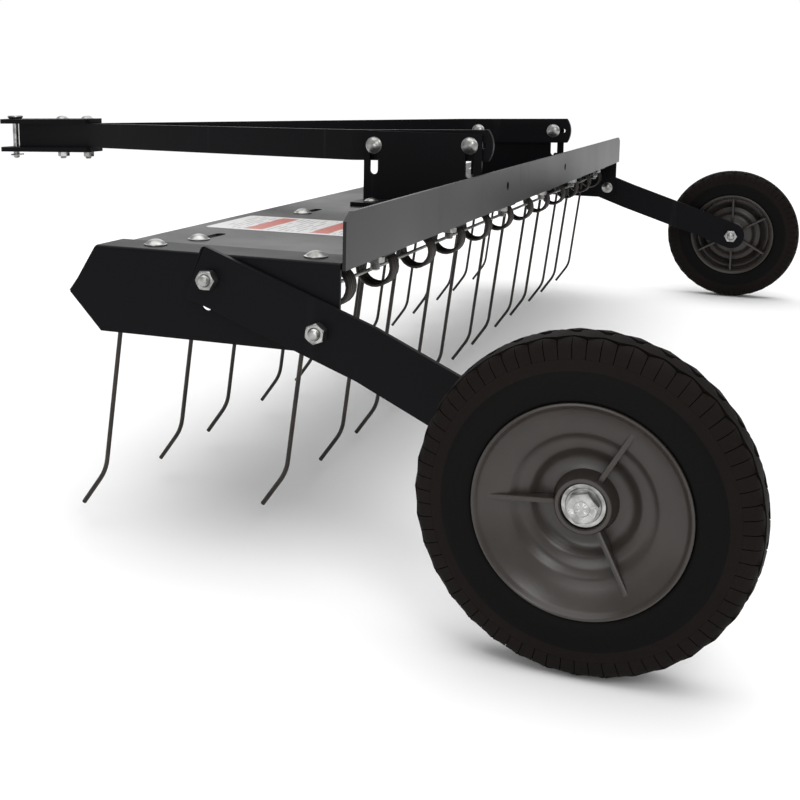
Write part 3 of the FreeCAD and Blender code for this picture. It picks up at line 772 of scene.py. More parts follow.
class Bench:
    """Fits pieces to the frame's bodies and keeps count of them."""

    def __init__(self, frame: dict) -> None:
        """Keep the frame's nodes and joints."""
        self.nodes = frame["nodes"]
        self.joints = {joint["name"]: joint for joint in frame["joints"]}
        self.count = 0

    def fit(self, piece: bpy.types.Object, body: str, finish: object, slot: Slot,
            *stands_for: str) -> bpy.types.Object:
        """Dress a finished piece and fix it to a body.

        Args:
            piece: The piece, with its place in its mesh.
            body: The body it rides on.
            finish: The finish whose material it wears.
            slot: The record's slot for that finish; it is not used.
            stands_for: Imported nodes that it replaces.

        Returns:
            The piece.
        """
        piece.data.materials.clear()
        piece.data.materials.append(finish.material())
        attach(piece, body)
        if stands_for:
            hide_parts(*stands_for)
        self.count += 1
        LOG.info("%s rides on %s, %d faces", piece.name, body, len(piece.data.polygons))
        return piece

    def drawbar_up(self) -> Vector:
        """The drawbar's own upward direction, along the hitch pin."""
        axis = Vector(self.joints["hitch_pin_turn"]["axis"]).normalized()
        return axis if axis.z > 0 else -axis

    def softened(self, node: str, width: float, finish: object, slot: Slot,
                 segments: int = 2) -> bpy.types.Object:
        """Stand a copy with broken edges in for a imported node.

        Args:
            node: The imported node.
            width: The width of the broken edge.
            finish: The copy's finish.
            slot: The record's slot for it.
            segments: Steps across the broken edge.

        Returns:
            The copy.
        """
        packed = self.nodes[node]
        body = body_of(packed)[0]
        take(packed)
        bpy.ops.object.duplicate(linked=False)
        piece = bpy.context.object
        piece.parent = None
        piece.name = piece.data.name = f"{node}_finished"
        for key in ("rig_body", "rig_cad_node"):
            del piece[key]
        bpy.ops.mesh.customdata_custom_splitnormals_clear()
        with editing(piece):
            bpy.ops.mesh.remove_doubles(threshold=2e-6)
            bpy.ops.mesh.dissolve_limited(angle_limit=math.radians(0.6))
        rounded(piece, width, segments)
        modified(piece, "WEIGHTED_NORMAL", keep_sharp=True, mode="FACE_AREA", weight=50)
        return self.fit(piece, body, finish, slot, node)


# ---------------------------------------------------------------- fasteners


@dataclass(frozen=True)
class Thread:
    """The sizes of one thread's fasteners."""

    diameter: float
    across_flats: float
    head_r: float
    head_height: float
    pitch: float

    @property
    def bolt_r(self) -> float:
        """The shank's radius."""
        return self.diameter / 2


M6 = Thread(6 * MM, 10 * MM, 7.2 * MM, 3.4 * MM, 1.0 * MM)
M8 = Thread(8 * MM, 13 * MM, 8.6 * MM, 4.6 * MM, 1.25 * MM)
M10 = Thread(10 * MM, 17 * MM, 8.0 * MM, 6.4 * MM, 1.5 * MM)


@dataclass
class Fasteners:
    """Round-head bolts, hexagon nuts and washers, made once and copied to each place."""

    bench: Bench
    zinc: ZincPlate
    stud_threads: int = 4
    chamfer: float = 0.12
    nut_roll: float = 0.4
    thin: float = 2.2 * MM

    @staticmethod
    def round_bolt(thread: Thread, length: float, threads: int) -> bpy.types.Object:
        """Turn a round-head bolt whose head's top is at the origin and points along +X.

        Args:
            thread: The bolt's thread.
            length: Its whole length, head included.
            threads: Ridges shown at its free end.

        Returns:
            The bolt.
        """
        h, r = thread.head_height, thread.head_r
        sphere = (r * r + h * h) / (2 * h)
        span = math.asin(r / sphere)
        steps = 7
        profile = [(sphere * (math.cos(span * i / steps) - 1), sphere * math.sin(span * i / steps))
                   for i in range(steps)]
        rim = 0.12 * h
        profile += [(-h + rim * 1.6, r * 0.988), (-h + rim * 0.6, r), (-h, r * 0.985),
                    (-h, thread.bolt_r)]
        tip = -length
        root = thread.bolt_r - thread.pitch * 0.45
        ridge = tip + thread.pitch * (threads + 0.5)
        profile.append((ridge + thread.pitch / 2, thread.bolt_r))
        for i in range(threads):
            profile += [(ridge - i * thread.pitch, root), (ridge - (i + 0.5) * thread.pitch, thread.bolt_r)]
        profile += [(tip + 0.2 * thread.pitch, root), (tip, root * 0.86), (tip, 0.0)]
        return smoothed(turned("bolt", profile, 28, closed=False), 40.0)

    def hexagon(self, thread: Thread, height: float, bored: bool) -> bpy.types.Object:
        """Make a chamfered hexagon from the origin along +X.

        Args:
            thread: The thread whose flats it has.
            height: Its height.
            bored: Whether a threaded hole goes through, as in a nut.

        Returns:
            The hexagon.
        """
        corner = thread.across_flats / math.sqrt(3)
        bpy.ops.object.select_all(action="DESELECT")
        bpy.ops.mesh.primitive_cylinder_add(vertices=6, radius=corner, depth=height,
                                            location=(height / 2, 0, 0), rotation=(0, math.pi / 2, 0))
        block = bpy.context.object
        bpy.ops.object.transform_apply(location=True, rotation=True, scale=True)
        cut = height * self.chamfer
        flat = thread.across_flats / 2
        inner = thread.bolt_r * 0.97 if bored else 0.0
        outline = [(0, inner), (0, flat * 0.97), (cut, corner * 1.01),
                   (height - cut, corner * 1.01), (height, flat * 0.97)]
        if bored:
            sink = thread.pitch * 0.5
            outline += [(height, inner + sink), (height - sink, inner)]
        else:
            outline += [(height, flat * 0.55), (height * 0.96, flat * 0.5), (height * 0.96, 0.0)]
        cone = turned("chamfer_pattern", outline, 48, closed=bored)
        modified(block, "BOOLEAN", operation="INTERSECT", object=cone, solver="EXACT")
        scrapped(cone)
        return smoothed(rounded(block, 0.012 * thread.across_flats, 1), 20.0)

    @staticmethod
    def washer(inner: float, outer: float, thickness: float) -> bpy.types.Object:
        """Turn a flat washer from the origin along +X, with rolled edges."""
        soft = thickness * 0.18
        return smoothed(turned("washer", [
            (0, inner), (0, outer - soft), (soft, outer), (thickness - soft * 2, outer),
            (thickness, outer - soft * 2), (thickness, inner + soft), (thickness - soft, inner)], 36), 40.0)

    def bolts(self, node: str, thread: Thread, axis: Vector) -> None:
        """Put a round-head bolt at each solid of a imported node.

        Args:
            node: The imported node.
            thread: The bolts' thread.
            axis: Out of the heads.
        """
        self._along(node, thread, axis, node.replace("bolts", "round_head_bolts"), self._one_bolt)

    def nuts(self, node: str, thread: Thread, axis: Vector) -> None:
        """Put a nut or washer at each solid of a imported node.

        Args:
            node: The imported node.
            thread: The nuts' thread.
            axis: Away from the work.
        """
        self._along(node, thread, axis, node.replace("nut", "hexagon_nut"), self._one_nut)

    def _one_bolt(self, thread: Thread, length: float, across: float) -> bpy.types.Object:
        """Make the bolt that fills a solid, its head's top at the origin."""
        return self.round_bolt(thread, length, self.stud_threads)

    def _one_nut(self, thread: Thread, length: float, across: float) -> bpy.types.Object:
        """Make the nut or washer that fills a solid, centred on the origin."""
        if length < self.thin:
            piece = self.washer(thread.bolt_r, across / 2, length)
        else:
            piece = self.hexagon(thread, length, bored=True)
        piece.data.transform(Matrix.Translation((-length / 2, 0, 0)))
        return piece

    def _along(self, node: str, thread: Thread, axis: Vector, name: str,
               make: Callable[[Thread, float, float], bpy.types.Object]) -> None:
        """Make one fastener per solid of a node and join them.

        Args:
            node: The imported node.
            thread: The fasteners' thread.
            axis: The way the fasteners point.
            name: The joined piece's name.
            make: Makes a fastener from its thread, length and width.
        """
        patterns: dict[int, bpy.types.Object] = {}
        made = []
        across_axis = 0 if abs(axis.x) < 0.5 else 1
        for number, (low, high) in enumerate(loose_boxes(self.bench.nodes[node])):
            middle, size = (low + high) / 2, high - low
            lean = abs(axis.y) * size[across_axis]
            length = max(abs(size.x * axis.x), abs(size.z * axis.z) - lean)
            key = round(length / (0.1 * MM))
            if key not in patterns:
                patterns[key] = make(thread, length, size[across_axis])
            place = middle + axis * (length / 2) if make == self._one_bolt else middle
            made.append(copied(patterns[key], f"{name}_{number}",
                               aimed(place, axis, number * self.nut_roll)))
        scrapped(*patterns.values())
        body = body_of(self.bench.nodes[node])[0]
        self.bench.fit(joined(name, made), body, self.zinc, Slot.ZINC, node)

    def build(self, drawbar_up: Vector) -> None:
        """Make every bolt and nut except the axles'.

        Args:
            drawbar_up: The drawbar's own upward direction.
        """
        up, left = Vector((0, 0, 1)), Vector((1, 0, 0))
        for group, thread in (("end_plate", M8), ("bracket", M6), ("tine", M8)):
            self.bolts(f"{group}_bolts", thread, up)
            self.nuts(f"{group}_nuts", thread, -up)
        self.bolts("hitch_bolts", M8, drawbar_up)
        self.nuts("hitch_nuts", M8, -drawbar_up)
        self.bolts("draft_bar_bolts", M8, left)
        self.nuts("draft_bar_nuts", M8, -left)
        for side in Side:
            self.bolts(f"{side.word}_arm_bolts", M8, -left * side.value)
            self.nuts(f"{side.word}_arm_nuts", M8, left * side.value)


# ---------------------------------------------------------------- deck and steelwork


@dataclass
class Steelwork:
    """The deck, end plates, brackets, drawbar and arms, all cut and folded from plate."""

    bench: Bench
    coat: PowderCoat
    deck_coat: PowderCoat
    sheet_edge: float = 0.7 * MM
    bar_edge: float = 1.0 * MM
    arm_edge: float = 1.4 * MM

    def build(self) -> None:
        """Stand softened copies in for all the flat steel."""
        self.bench.softened("deck_tray", self.sheet_edge, self.deck_coat, Slot.BLACK)
        for side in Side:
            for name, edge in (("end_plate", self.sheet_edge), ("tow_bracket", self.sheet_edge),
                               ("draft_bar", self.bar_edge), ("wheel_arm", self.arm_edge)):
                self.bench.softened(f"{side.word}_{name}", edge, self.coat, Slot.BLACK)
        for name in ("hitch_plate_top", "hitch_plate_bottom"):
            self.bench.softened(name, self.bar_edge, self.coat, Slot.BLACK)
        self.bench.softened("tine_clamps", self.sheet_edge, self.coat, Slot.BLACK)


# ---------------------------------------------------------------- tines


@dataclass
class TineSpring:
    """One double spring: two coils of wire, each ending in a long bent tine."""

    bench: Bench
    steel: TemperedWire
    wire_r: float = 1.8 * MM
    coil_r: float = 14.4 * MM
    turns: int = 5
    turn_points: int = 22
    leg_lean: float = 18.0 * MM
    leg_drop: float = 145.5 * MM
    tip_lean: float = 19.7 * MM
    bend_cut: float = 9.0 * MM
    coil_half: float = 7.4 * MM
    inner_start: float = 10.4 * MM

    def half(self, middle: float, sign: int, axis_y: float, axis_z: float, foot_z: float) -> list[Vector]:
        """Lay out one coil and its tine.

        Args:
            middle: X of the coil's middle.
            sign: Which way along X the tine lies from the coil.
            axis_y: Y of the coil's axis.
            axis_z: Z of the coil's axis.
            foot_z: Z of the tine's tip.

        Returns:
            The wire's points from the coil's inner end to the tip.
        """
        inside, outside = middle - sign * self.inner_start, middle + sign * self.coil_half
        count = self.turns * self.turn_points
        points = []
        for i in range(count + 1):
            turn = math.pi + FULL_TURN * i / self.turn_points
            points.append(Vector((inside + (outside - inside) * i / count,
                                  axis_y + self.coil_r * math.cos(turn),
                                  axis_z + self.coil_r * math.sin(turn))))
        bend = Vector((outside, axis_y - self.coil_r - self.leg_lean, axis_z - self.leg_drop))
        tip = Vector((outside, bend.y - self.tip_lean, foot_z))
        points += [points[-1].lerp(bend, 0.04) + Vector((0, -0.0002, 0))]
        points += arc_points(points[-1], bend, tip, self.bend_cut, 6)
        return points + [tip]

    def build(self, number: int) -> None:
        """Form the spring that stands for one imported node.

        Args:
            number: The spring's number, from 1.
        """
        node = f"tine_spring_{number:02d}"
        low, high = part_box(node)
        joint = self.bench.joints[f"tine_flex_{number:02d}"]
        axis_y, axis_z = joint["pos_m"][1], joint["pos_m"][2]
        edge = self.wire_r
        inset = PACKED_WIRE_R + self.coil_half
        runs = [self.half(high.x - inset, 1, axis_y, axis_z, low.z + edge),
                self.half(low.x + inset, -1, axis_y, axis_z, low.z + edge)]
        piece = wire_piece(f"double_tine_{number:02d}", runs, self.wire_r)
        self.bench.fit(piece, f"tine_{number:02d}", self.steel, Slot.SPRING, node)


@dataclass
class CrossBars:
    """The middle run of each double spring, held under the deck, with its first bend of coil."""

    bench: Bench
    steel: TemperedWire
    wire_r: float = 1.65 * MM
    coil_r: float = 14.4 * MM
    rise: float = 9.0 * MM
    tail_turn: float = math.radians(130)
    tail_points: int = 12
    tail_step: float = 1.1 * MM

    def run(self, low: Vector, high: Vector, axis_y: float, axis_z: float) -> list[Vector]:
        """Lay out one bar from its left tail to its right one.

        Args:
            low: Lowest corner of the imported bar.
            high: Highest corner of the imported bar.
            axis_y: Y of the coils' axis.
            axis_z: Z of the coils' axis.

        Returns:
            The bar's points.
        """
        back_y, bar_z = high.y - PACKED_WIRE_R, high.z - PACKED_WIRE_R
        reach_high, reach_low = high.x - 0.6 * MM, low.x + 0.6 * MM

        def tail(x: float, way: int) -> list[Vector]:
            """The bend over the top of the coil, from its free end to the crown."""
            points = []
            for i in range(self.tail_points + 1):
                share = 1 - i / self.tail_points
                turn = math.pi / 2 + self.tail_turn * share
                points.append(Vector((x + way * self.tail_step * share,
                                      axis_y + self.coil_r * math.cos(turn),
                                      axis_z + self.coil_r * math.sin(turn))))
            return points

        middle = [Vector((reach_high - self.rise, back_y, bar_z)),
                  Vector((reach_low + self.rise, back_y, bar_z))]
        left, right = tail(reach_high, 1), tail(reach_low, -1)
        corner = arc_points(left[-1], middle[0], middle[1], 3 * MM, 5)
        other = arc_points(middle[0], middle[1], right[-1], 3 * MM, 5)
        return left + corner + other + right[::-1]

    def build(self) -> None:
        """Form the bars of both rows."""
        for row, first in (("front", 1), ("rear", 7)):
            node = f"{row}_spring_cross_bars"
            origin = self.bench.joints[f"tine_flex_{first:02d}"]["pos_m"]
            runs = [self.run(low, high, origin[1], origin[2])
                    for low, high in loose_boxes(self.bench.nodes[node])]
            piece = wire_piece(f"{row}_spring_bars", runs, self.wire_r)
            self.bench.fit(piece, "root", self.steel, Slot.SPRING, node)


@dataclass
class CoilRod:
    """The thin rod through the rear coils, with a pressed cap inside each end plate."""

    bench: Bench
    zinc: ZincPlate
    cap_r: float = 5.2 * MM
    cap_depth: float = 3.2 * MM
    wall_gap: float = 3.0 * MM

    def build(self) -> None:
        """Turn the rod and its two caps."""
        low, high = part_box("rear_tine_rod")
        middle, r = (low + high) / 2, (high.z - low.z) / 2
        nose = r * 0.3
        rod = turned("rear_coil_rod", [(low.x, 0), (low.x, r - nose), (low.x + nose, r),
                                       (high.x - nose, r), (high.x, r - nose), (high.x, 0)],
                     24, closed=False)
        rod.data.transform(Matrix.Translation((0, middle.y, middle.z)))
        self.bench.fit(smoothed(rod, 40.0), "root", self.zinc, Slot.ZINC, "rear_tine_rod")
        c, d = self.cap_r, self.cap_depth
        cap = smoothed(turned("cap_pattern", [
            (0, r), (0, c), (0.2 * d, c), (0.35 * d, 0.8 * c), (0.8 * d, 0.62 * c), (d, 0.5 * c),
            (d, r)], 28), 30.0)
        caps = []
        for side in Side:
            wall = (high.x if side is Side.LEFT else low.x) - side.value * self.wall_gap
            place = Vector((wall, middle.y, middle.z))
            caps.append(copied(cap, f"cap_{side.word}", aimed(place, Vector((-side.value, 0, 0)))))
        scrapped(cap)
        self.bench.fit(joined("rod_push_caps", caps), "root", self.zinc, Slot.ZINC)


# ---------------------------------------------------------------- wheels


@dataclass
class Tyre:
    """A small cushion tyre: smooth sidewalls, slit shoulders and a zigzag tread."""

    bench: Bench
    blocks: int = 72
    steps_per_block: int = 3
    slit: float = 0.0048
    tread_depth: float = 2.4 * MM
    zigzag: float = 2.3 * MM

    def profile(self, half: float, r: float) -> list[Point2]:
        """Half of the carcass outline, from the bead to the middle of the tread.

        Args:
            half: Half the tyre's width.
            r: The tyre's outer radius.

        Returns:
            Places across the tyre, with their radii.
        """
        d = self.tread_depth
        return [(half - 7.2 * MM, r - 40.6 * MM), (half - 3.4 * MM, r - 38.4 * MM),
                (half - 2.6 * MM, r - 37.4 * MM), (half - 1.5 * MM, r - 35.6 * MM),
                (half - 1.2 * MM, r - 31.0 * MM), (half - 1.2 * MM, r - 24.5 * MM),
                (half - 1.5 * MM, r - 21.6 * MM), (half - 1.9 * MM, r - 20.2 * MM),
                (half - 2.2 * MM, r - 17.5 * MM), (half - 3.1 * MM, r - 13.4 * MM),
                (half - d - 3.0 * MM, r - 13.9 * MM),
                (half - d - 4.6 * MM, r - d - 5.0 * MM), (half - d - 6.6 * MM, r - d - 2.8 * MM),
                (half - d - 8.2 * MM, r - d - 2.0 * MM), (half - d - 9.6 * MM, r - d - 1.6 * MM),
                (4.4 * MM, r - d - 0.5 * MM), (0.9 * MM, r - d)]

    def column(self, x: float, half: float) -> tuple[bool, float]:
        """Sort a place across the tread.

        Args:
            x: Distance from the middle plane, without the zigzag.
            half: Half the tyre's width.

        Returns:
            Whether it lies in a groove, and how far the zigzag moves it.
        """
        size = abs(x)
        outer = half - self.tread_depth - 8.9 * MM
        in_outer_groove = abs(size - outer) < 0.75 * MM
        in_centre = size < 0.9 * MM
        sway = self.zigzag if size < 1.5 * MM else -self.zigzag * (0.75 if size < outer + 1.2 * MM else 0.0)
        return in_outer_groove or in_centre, sway

    def build(self, side: Side, rubber: TyreRubber) -> None:
        """Mould one tyre.

        Args:
            side: The side it is on.
            rubber: Its finish.
        """
        node = f"{side.word}_tyre"
        low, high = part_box(node)
        centre, half, r = (low + high) / 2, (high.x - low.x) / 2, (high.z - low.z) / 2
        left = self.profile(half, r)
        outline = left + [(-x, radius) for x, radius in left[::-1]]
        steps = self.blocks * self.steps_per_block
        piece = turned(f"{side.word}_tyre_moulded", outline, steps)
        self._cut_tread(piece, half, r, steps)
        with editing(piece):
            bpy.ops.mesh.normals_make_consistent(inside=False)
        smoothed(piece, 34.0)
        piece.data.transform(Matrix.Translation(centre))
        self.bench.fit(piece, f"{side.word}_wheel", rubber, Slot.TYRE, node)

    def _cut_tread(self, piece: bpy.types.Object, half: float, r: float, steps: int) -> None:
        """Sway the tread's rows, close up the slits, and raise the blocks between them."""
        pitch = FULL_TURN / self.blocks
        step = FULL_TURN / steps
        shoulder_r = r - 13.1 * MM
        lifts = (0.0, self.slit, (self.slit + pitch) / 2)

        def cell(y: float, z: float) -> int:
            """The number of the step nearest to an angle round the axle."""
            return round(math.atan2(z, y) / step) % steps

        raised: set[int] = set()
        with editing(piece):
            mesh = bmesh.from_edit_mesh(piece.data)
            mesh.faces.ensure_lookup_table()
            for face in mesh.faces:
                middle = face.calc_center_median()
                radius = math.hypot(middle.y, middle.z)
                angle = (math.atan2(middle.z, middle.y) / step) % steps
                in_slit = int(angle) % self.steps_per_block == 0
                in_groove, _ = self.column(middle.x, half)
                centre_rows = abs(middle.x) < 0.45 * half
                if radius > shoulder_r and not in_groove and not (in_slit and not centre_rows):
                    raised.add(face.index)
            for vertex in mesh.verts:
                radius = math.hypot(vertex.co.y, vertex.co.z)
                number = cell(vertex.co.y, vertex.co.z)
                block, part = divmod(number, self.steps_per_block)
                angle = block * pitch + lifts[part]
                vertex.co.y, vertex.co.z = radius * math.cos(angle), radius * math.sin(angle)
                if radius > shoulder_r:
                    wave = 0.0 if part == 2 else (1.0 if block % 2 else -1.0)
                    _, sway = self.column(vertex.co.x, half)
                    vertex.co.x += wave * sway
            bmesh.update_edit_mesh(piece.data)
            pick_faces(piece, lambda face: face.index in raised)
            bpy.ops.mesh.extrude_region_shrink_fatten(
                TRANSFORM_OT_shrink_fatten={"value": self.tread_depth})


@dataclass
class Rim:
    """A one-piece moulded rim with a stepped dish, three fins outside and six ribs inside."""

    bench: Bench
    plastic: MouldedPlastic
    fins: int = 3
    fin_half: float = 1.6 * MM
    ribs: int = 6
    rib_half: float = 1.5 * MM
    bore_r: float = 7.05 * MM

    def outline(self, hub_out: float, hub_in: float) -> list[Point2]:
        """The rim's section, from the hub's outer end round to its inner end.

        Args:
            hub_out: The hub's outer end, from the wheel's middle plane, in millimetres.
            hub_in: Its inner end, in millimetres.

        Returns:
            Places along the axle, with their radii.
        """
        dish = [(hub_out, self.bore_r), (hub_out, 13.4), (hub_out + 3.4, 13.6), (hub_out + 4.0, 14.2),
                (hub_out + 4.0, 16.2), (hub_out + 3.4, 16.8), (2.2, 17.6), (-1.6, 19.4), (-2.6, 22.6),
                (-2.2, 26.6), (-0.7, 29.4), (1.9, 31.4), (3.5, 33.6), (4.4, 37.2), (5.5, 40.2),
                (8.0, 42.2), (9.4, 44.4), (10.8, 48.2), (13.4, 53.2), (17.0, 58.6), (18.6, 60.4),
                (20.2, 61.2), (20.9, 62.2), (20.6, 63.2), (19.4, 63.5), (18.2, 62.6), (17.4, 60.8)]
        back = [(-17.4, 60.8), (-18.2, 62.6), (-19.4, 63.5), (-20.6, 63.2), (-20.9, 62.2),
                (-20.2, 60.6), (-18.4, 58.6), (-16.8, 57.4), (-2.0, 56.4), (9.0, 55.2), (9.6, 53.0),
                (6.6, 46.2), (4.8, 44.2), (2.3, 42.4), (1.3, 38.0), (0.3, 34.8), (-2.0, 32.4),
                (-4.4, 30.4), (-5.6, 27.0), (-5.8, 20.0), (-6.4, 17.4), (-7.6, 16.0),
                (hub_in + 1.2, 15.2), (hub_in, 14.2), (hub_in, self.bore_r)]
        return [(x * MM, r if r < 0.1 else r * MM) for x, r in dish + back]

    def build(self, side: Side) -> None:
        """Mould one rim.

        Args:
            side: The side it is on.
        """
        node = f"{side.word}_wheel_rim"
        tyre_low, tyre_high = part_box(f"{side.word}_tyre")
        bush_low, bush_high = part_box(f"{side.word}_wheel_bush")
        middle = (tyre_low + tyre_high) / 2
        ends = sorted((side.value * (bush_low.x - middle.x), side.value * (bush_high.x - middle.x)))
        body = turned("rim_body", self.outline(ends[1] / MM, ends[0] / MM), 96)
        parts = [smoothed(body, 40.0), *self._fins(), *self._ribs()]
        piece = joined(f"{side.word}_rim_moulded", parts)
        move = Matrix.Translation(middle) @ Matrix.Scale(side.value, 4, Vector((1, 0, 0)))
        piece.data.transform(move)
        if side is Side.RIGHT:
            piece.data.flip_normals()
        self.bench.fit(piece, f"{side.word}_wheel", self.plastic, Slot.RIM, node)

    def _fins(self) -> list[bpy.types.Object]:
        """The three fins on the outer side, the first pointing forward."""
        edge = [(0.0, 15.0), (5.6, 15.0), (6.4, 17.6), (13.4, 52.0), (14.4, 55.4), (12.2, 54.0),
                (4.8, 42.0), (-2.2, 30.0), (-3.4, 20.0)]
        fin = cut_plate("fin_pattern", [Vector((x * MM, -r * MM, -self.fin_half)) for x, r in edge],
                        Vector((0, 0, 2 * self.fin_half)))
        return self._round_axle(rounded(fin, 0.5 * MM), self.fins, "fin")

    def _ribs(self) -> list[bpy.types.Object]:
        """The six ribs on the inner side, one of them upright."""
        edge = [(-16.4, 14.5), (-15.8, 40.0), (-16.6, 57.6), (8.0, 56.6), (8.2, 46.0), (-4.0, 26.0),
                (-3.0, 14.5)]
        rib = cut_plate("rib_pattern", [Vector((x * MM, -self.rib_half, r * MM)) for x, r in edge],
                        Vector((0, 2 * self.rib_half, 0)))
        return self._round_axle(rounded(rib, 0.4 * MM), self.ribs, "rib")

    @staticmethod
    def _round_axle(pattern: bpy.types.Object, count: int, name: str) -> list[bpy.types.Object]:
        """Copy a pattern evenly round the axle and throw the pattern away."""
        made = [copied(pattern, f"{name}_{i}", Matrix.Rotation(FULL_TURN * i / count, 4, "X"))
                for i in range(count)]
        scrapped(pattern)
        return made


@dataclass
class Axle:
    """The bolt that carries a wheel, with its nut, washers, spacer and bush."""

    bench: Bench
    fasteners: Fasteners
    zinc: ZincPlate

    def build(self, side: Side) -> None:
        """Make one side's axle.

        Args:
            side: The side it is on.
        """
        out = Vector((side.value, 0, 0))
        body = f"{side.word}_arm"
        low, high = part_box(f"{side.word}_axle_bolt")
        centre = (low + high) / 2
        length = high.x - low.x
        shank = self.fasteners.round_bolt(M10, length - M10.head_height, 5)
        keep = -M10.head_height * 0.5
        with editing(shank):
            bpy.ops.mesh.bisect(plane_co=(keep - M10.head_height * 0.6, 0, 0), plane_no=(1, 0, 0),
                                clear_outer=True, use_fill=True)
        shank.data.transform(Matrix.Translation((-M10.head_height, 0, 0)))
        head = self.fasteners.hexagon(M10, M10.head_height, bored=False)
        head.data.transform(Matrix.Translation((-M10.head_height, 0, 0)))
        flange = self.fasteners.washer(M10.bolt_r * 0.9, M10.across_flats * 0.62, 1.0 * MM)
        flange.data.transform(Matrix.Translation((-M10.head_height, 0, 0)))
        neck = turned("neck", [(-2.4 * M10.head_height, 0), (-2.4 * M10.head_height, M10.bolt_r),
                               (-0.9 * M10.head_height, M10.bolt_r), (-0.9 * M10.head_height, 0)],
                      28, closed=False)
        bolt = joined(f"{side.word}_axle_hexagon_bolt", [shank, head, flange, neck])
        bolt.data.transform(aimed(centre + out * (length / 2), out, 0.2))
        self.bench.fit(bolt, body, self.zinc, Slot.ZINC, f"{side.word}_axle_bolt")
        self.fasteners.nuts(f"{side.word}_axle_nut", M10, -out)
        for name in ("axle_washers", "axle_spacer"):
            self.bench.softened(f"{side.word}_{name}", 0.25 * MM, self.zinc, Slot.ZINC, 1)
        self.bench.softened(f"{side.word}_wheel_bush", 0.2 * MM, self.zinc, Slot.ZINC, 1)


# ---------------------------------------------------------------- hitch and label


@dataclass
class HitchPin:
    """The drop pin with its pull ring, and the hairpin clip that holds it in."""

    bench: Bench
    zinc: ZincPlate
    pin_r: float = 3.95 * MM
    head: float = 4.4 * MM
    cup: tuple[Point2, ...] = ((0.0, 7.9), (0.3, 8.4), (1.2, 9.4), (2.6, 10.2), (3.8, 9.9), (4.3, 9.1),
                               (3.9, 8.1), (3.0, 7.2), (2.7, 6.2), (2.8, 0.0))
    clip_r: float = 0.95 * MM

    def build(self) -> None:
        """Turn the pin with its finger cup, and bend its clip."""
        axis = self.bench.drawbar_up()
        low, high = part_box("hitch_pin")
        on_axis = Vector(self.bench.joints["hitch_pin_turn"]["pos_m"])
        foot = on_axis + axis * ((low.z - on_axis.z) / axis.z)
        seat = (high.z - low.z) / axis.z - self.head - 0.4 * MM
        r = self.pin_r
        profile = [(0, 0), (0, 0.55 * r), (1.4 * MM, r), (seat, r)]
        profile += [(seat + x * MM, radius * MM) for x, radius in self.cup]
        piece = smoothed(turned("hitch_drop_pin", profile, 48, closed=False), 34.0)
        piece.data.transform(aimed(foot, axis))
        self.bench.fit(piece, "hitch_pin", self.zinc, Slot.ZINC, "hitch_pin")
        self._clip()

    def _clip(self) -> None:
        """Bend the hairpin clip: a straight leg through the pin and a waved one round it."""
        low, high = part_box("hitch_pin_clip")
        r = self.clip_r
        y, z = low.y + r, (low.z + high.z) / 2
        back = high.y - r
        right, left = low.x + r, high.x - r
        path = [(right, y), (0, y), (left - 9 * MM, y), (left - 3 * MM, y + 0.5 * MM),
                (left, y + 3 * MM), (left - 0.2 * MM, back - 4 * MM), (left - 3 * MM, back - 1.0 * MM),
                (left - 7 * MM, back), (4 * MM, back - 0.4 * MM), (0, back - 0.2 * MM),
                (-4 * MM, back - 1.0 * MM), (right + 1.5 * MM, back)]
        piece = wire_piece("hitch_hairpin_clip", [[Vector((x, along, z)) for x, along in path]], r,
                           smooth=True)
        self.bench.fit(piece, "pin_clip", self.zinc, Slot.ZINC, "hitch_pin_clip")


@dataclass
class DeckLabel:
    """The printed film on the deck, with round corners and no lettering."""

    bench: Bench
    corner: float = 5 * MM
    corner_steps: int = 5

    def build(self) -> None:
        """Cut the film to its outline."""
        low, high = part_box("deck_label")
        points = []
        for sx, sy, start in ((1, 1, 0), (-1, 1, 1), (-1, -1, 2), (1, -1, 3)):
            centre = Vector(((high.x if sx > 0 else low.x) - sx * self.corner,
                             (high.y if sy > 0 else low.y) - sy * self.corner, low.z))
            for i in range(self.corner_steps + 1):
                turn = math.pi / 2 * (start + i / self.corner_steps)
                points.append(centre + Vector((math.cos(turn), math.sin(turn), 0)) * self.corner)
        piece = cut_plate("deck_film_label", points, Vector((0, 0, high.z - low.z)))
        film = PrintedFilm("printed_film", (low.x, low.y), (high.x, high.y))
        self.bench.fit(rounded(piece, 0.1 * MM, 1), "root", film, Slot.LABEL, "deck_label")


# ---------------------------------------------------------------- studio


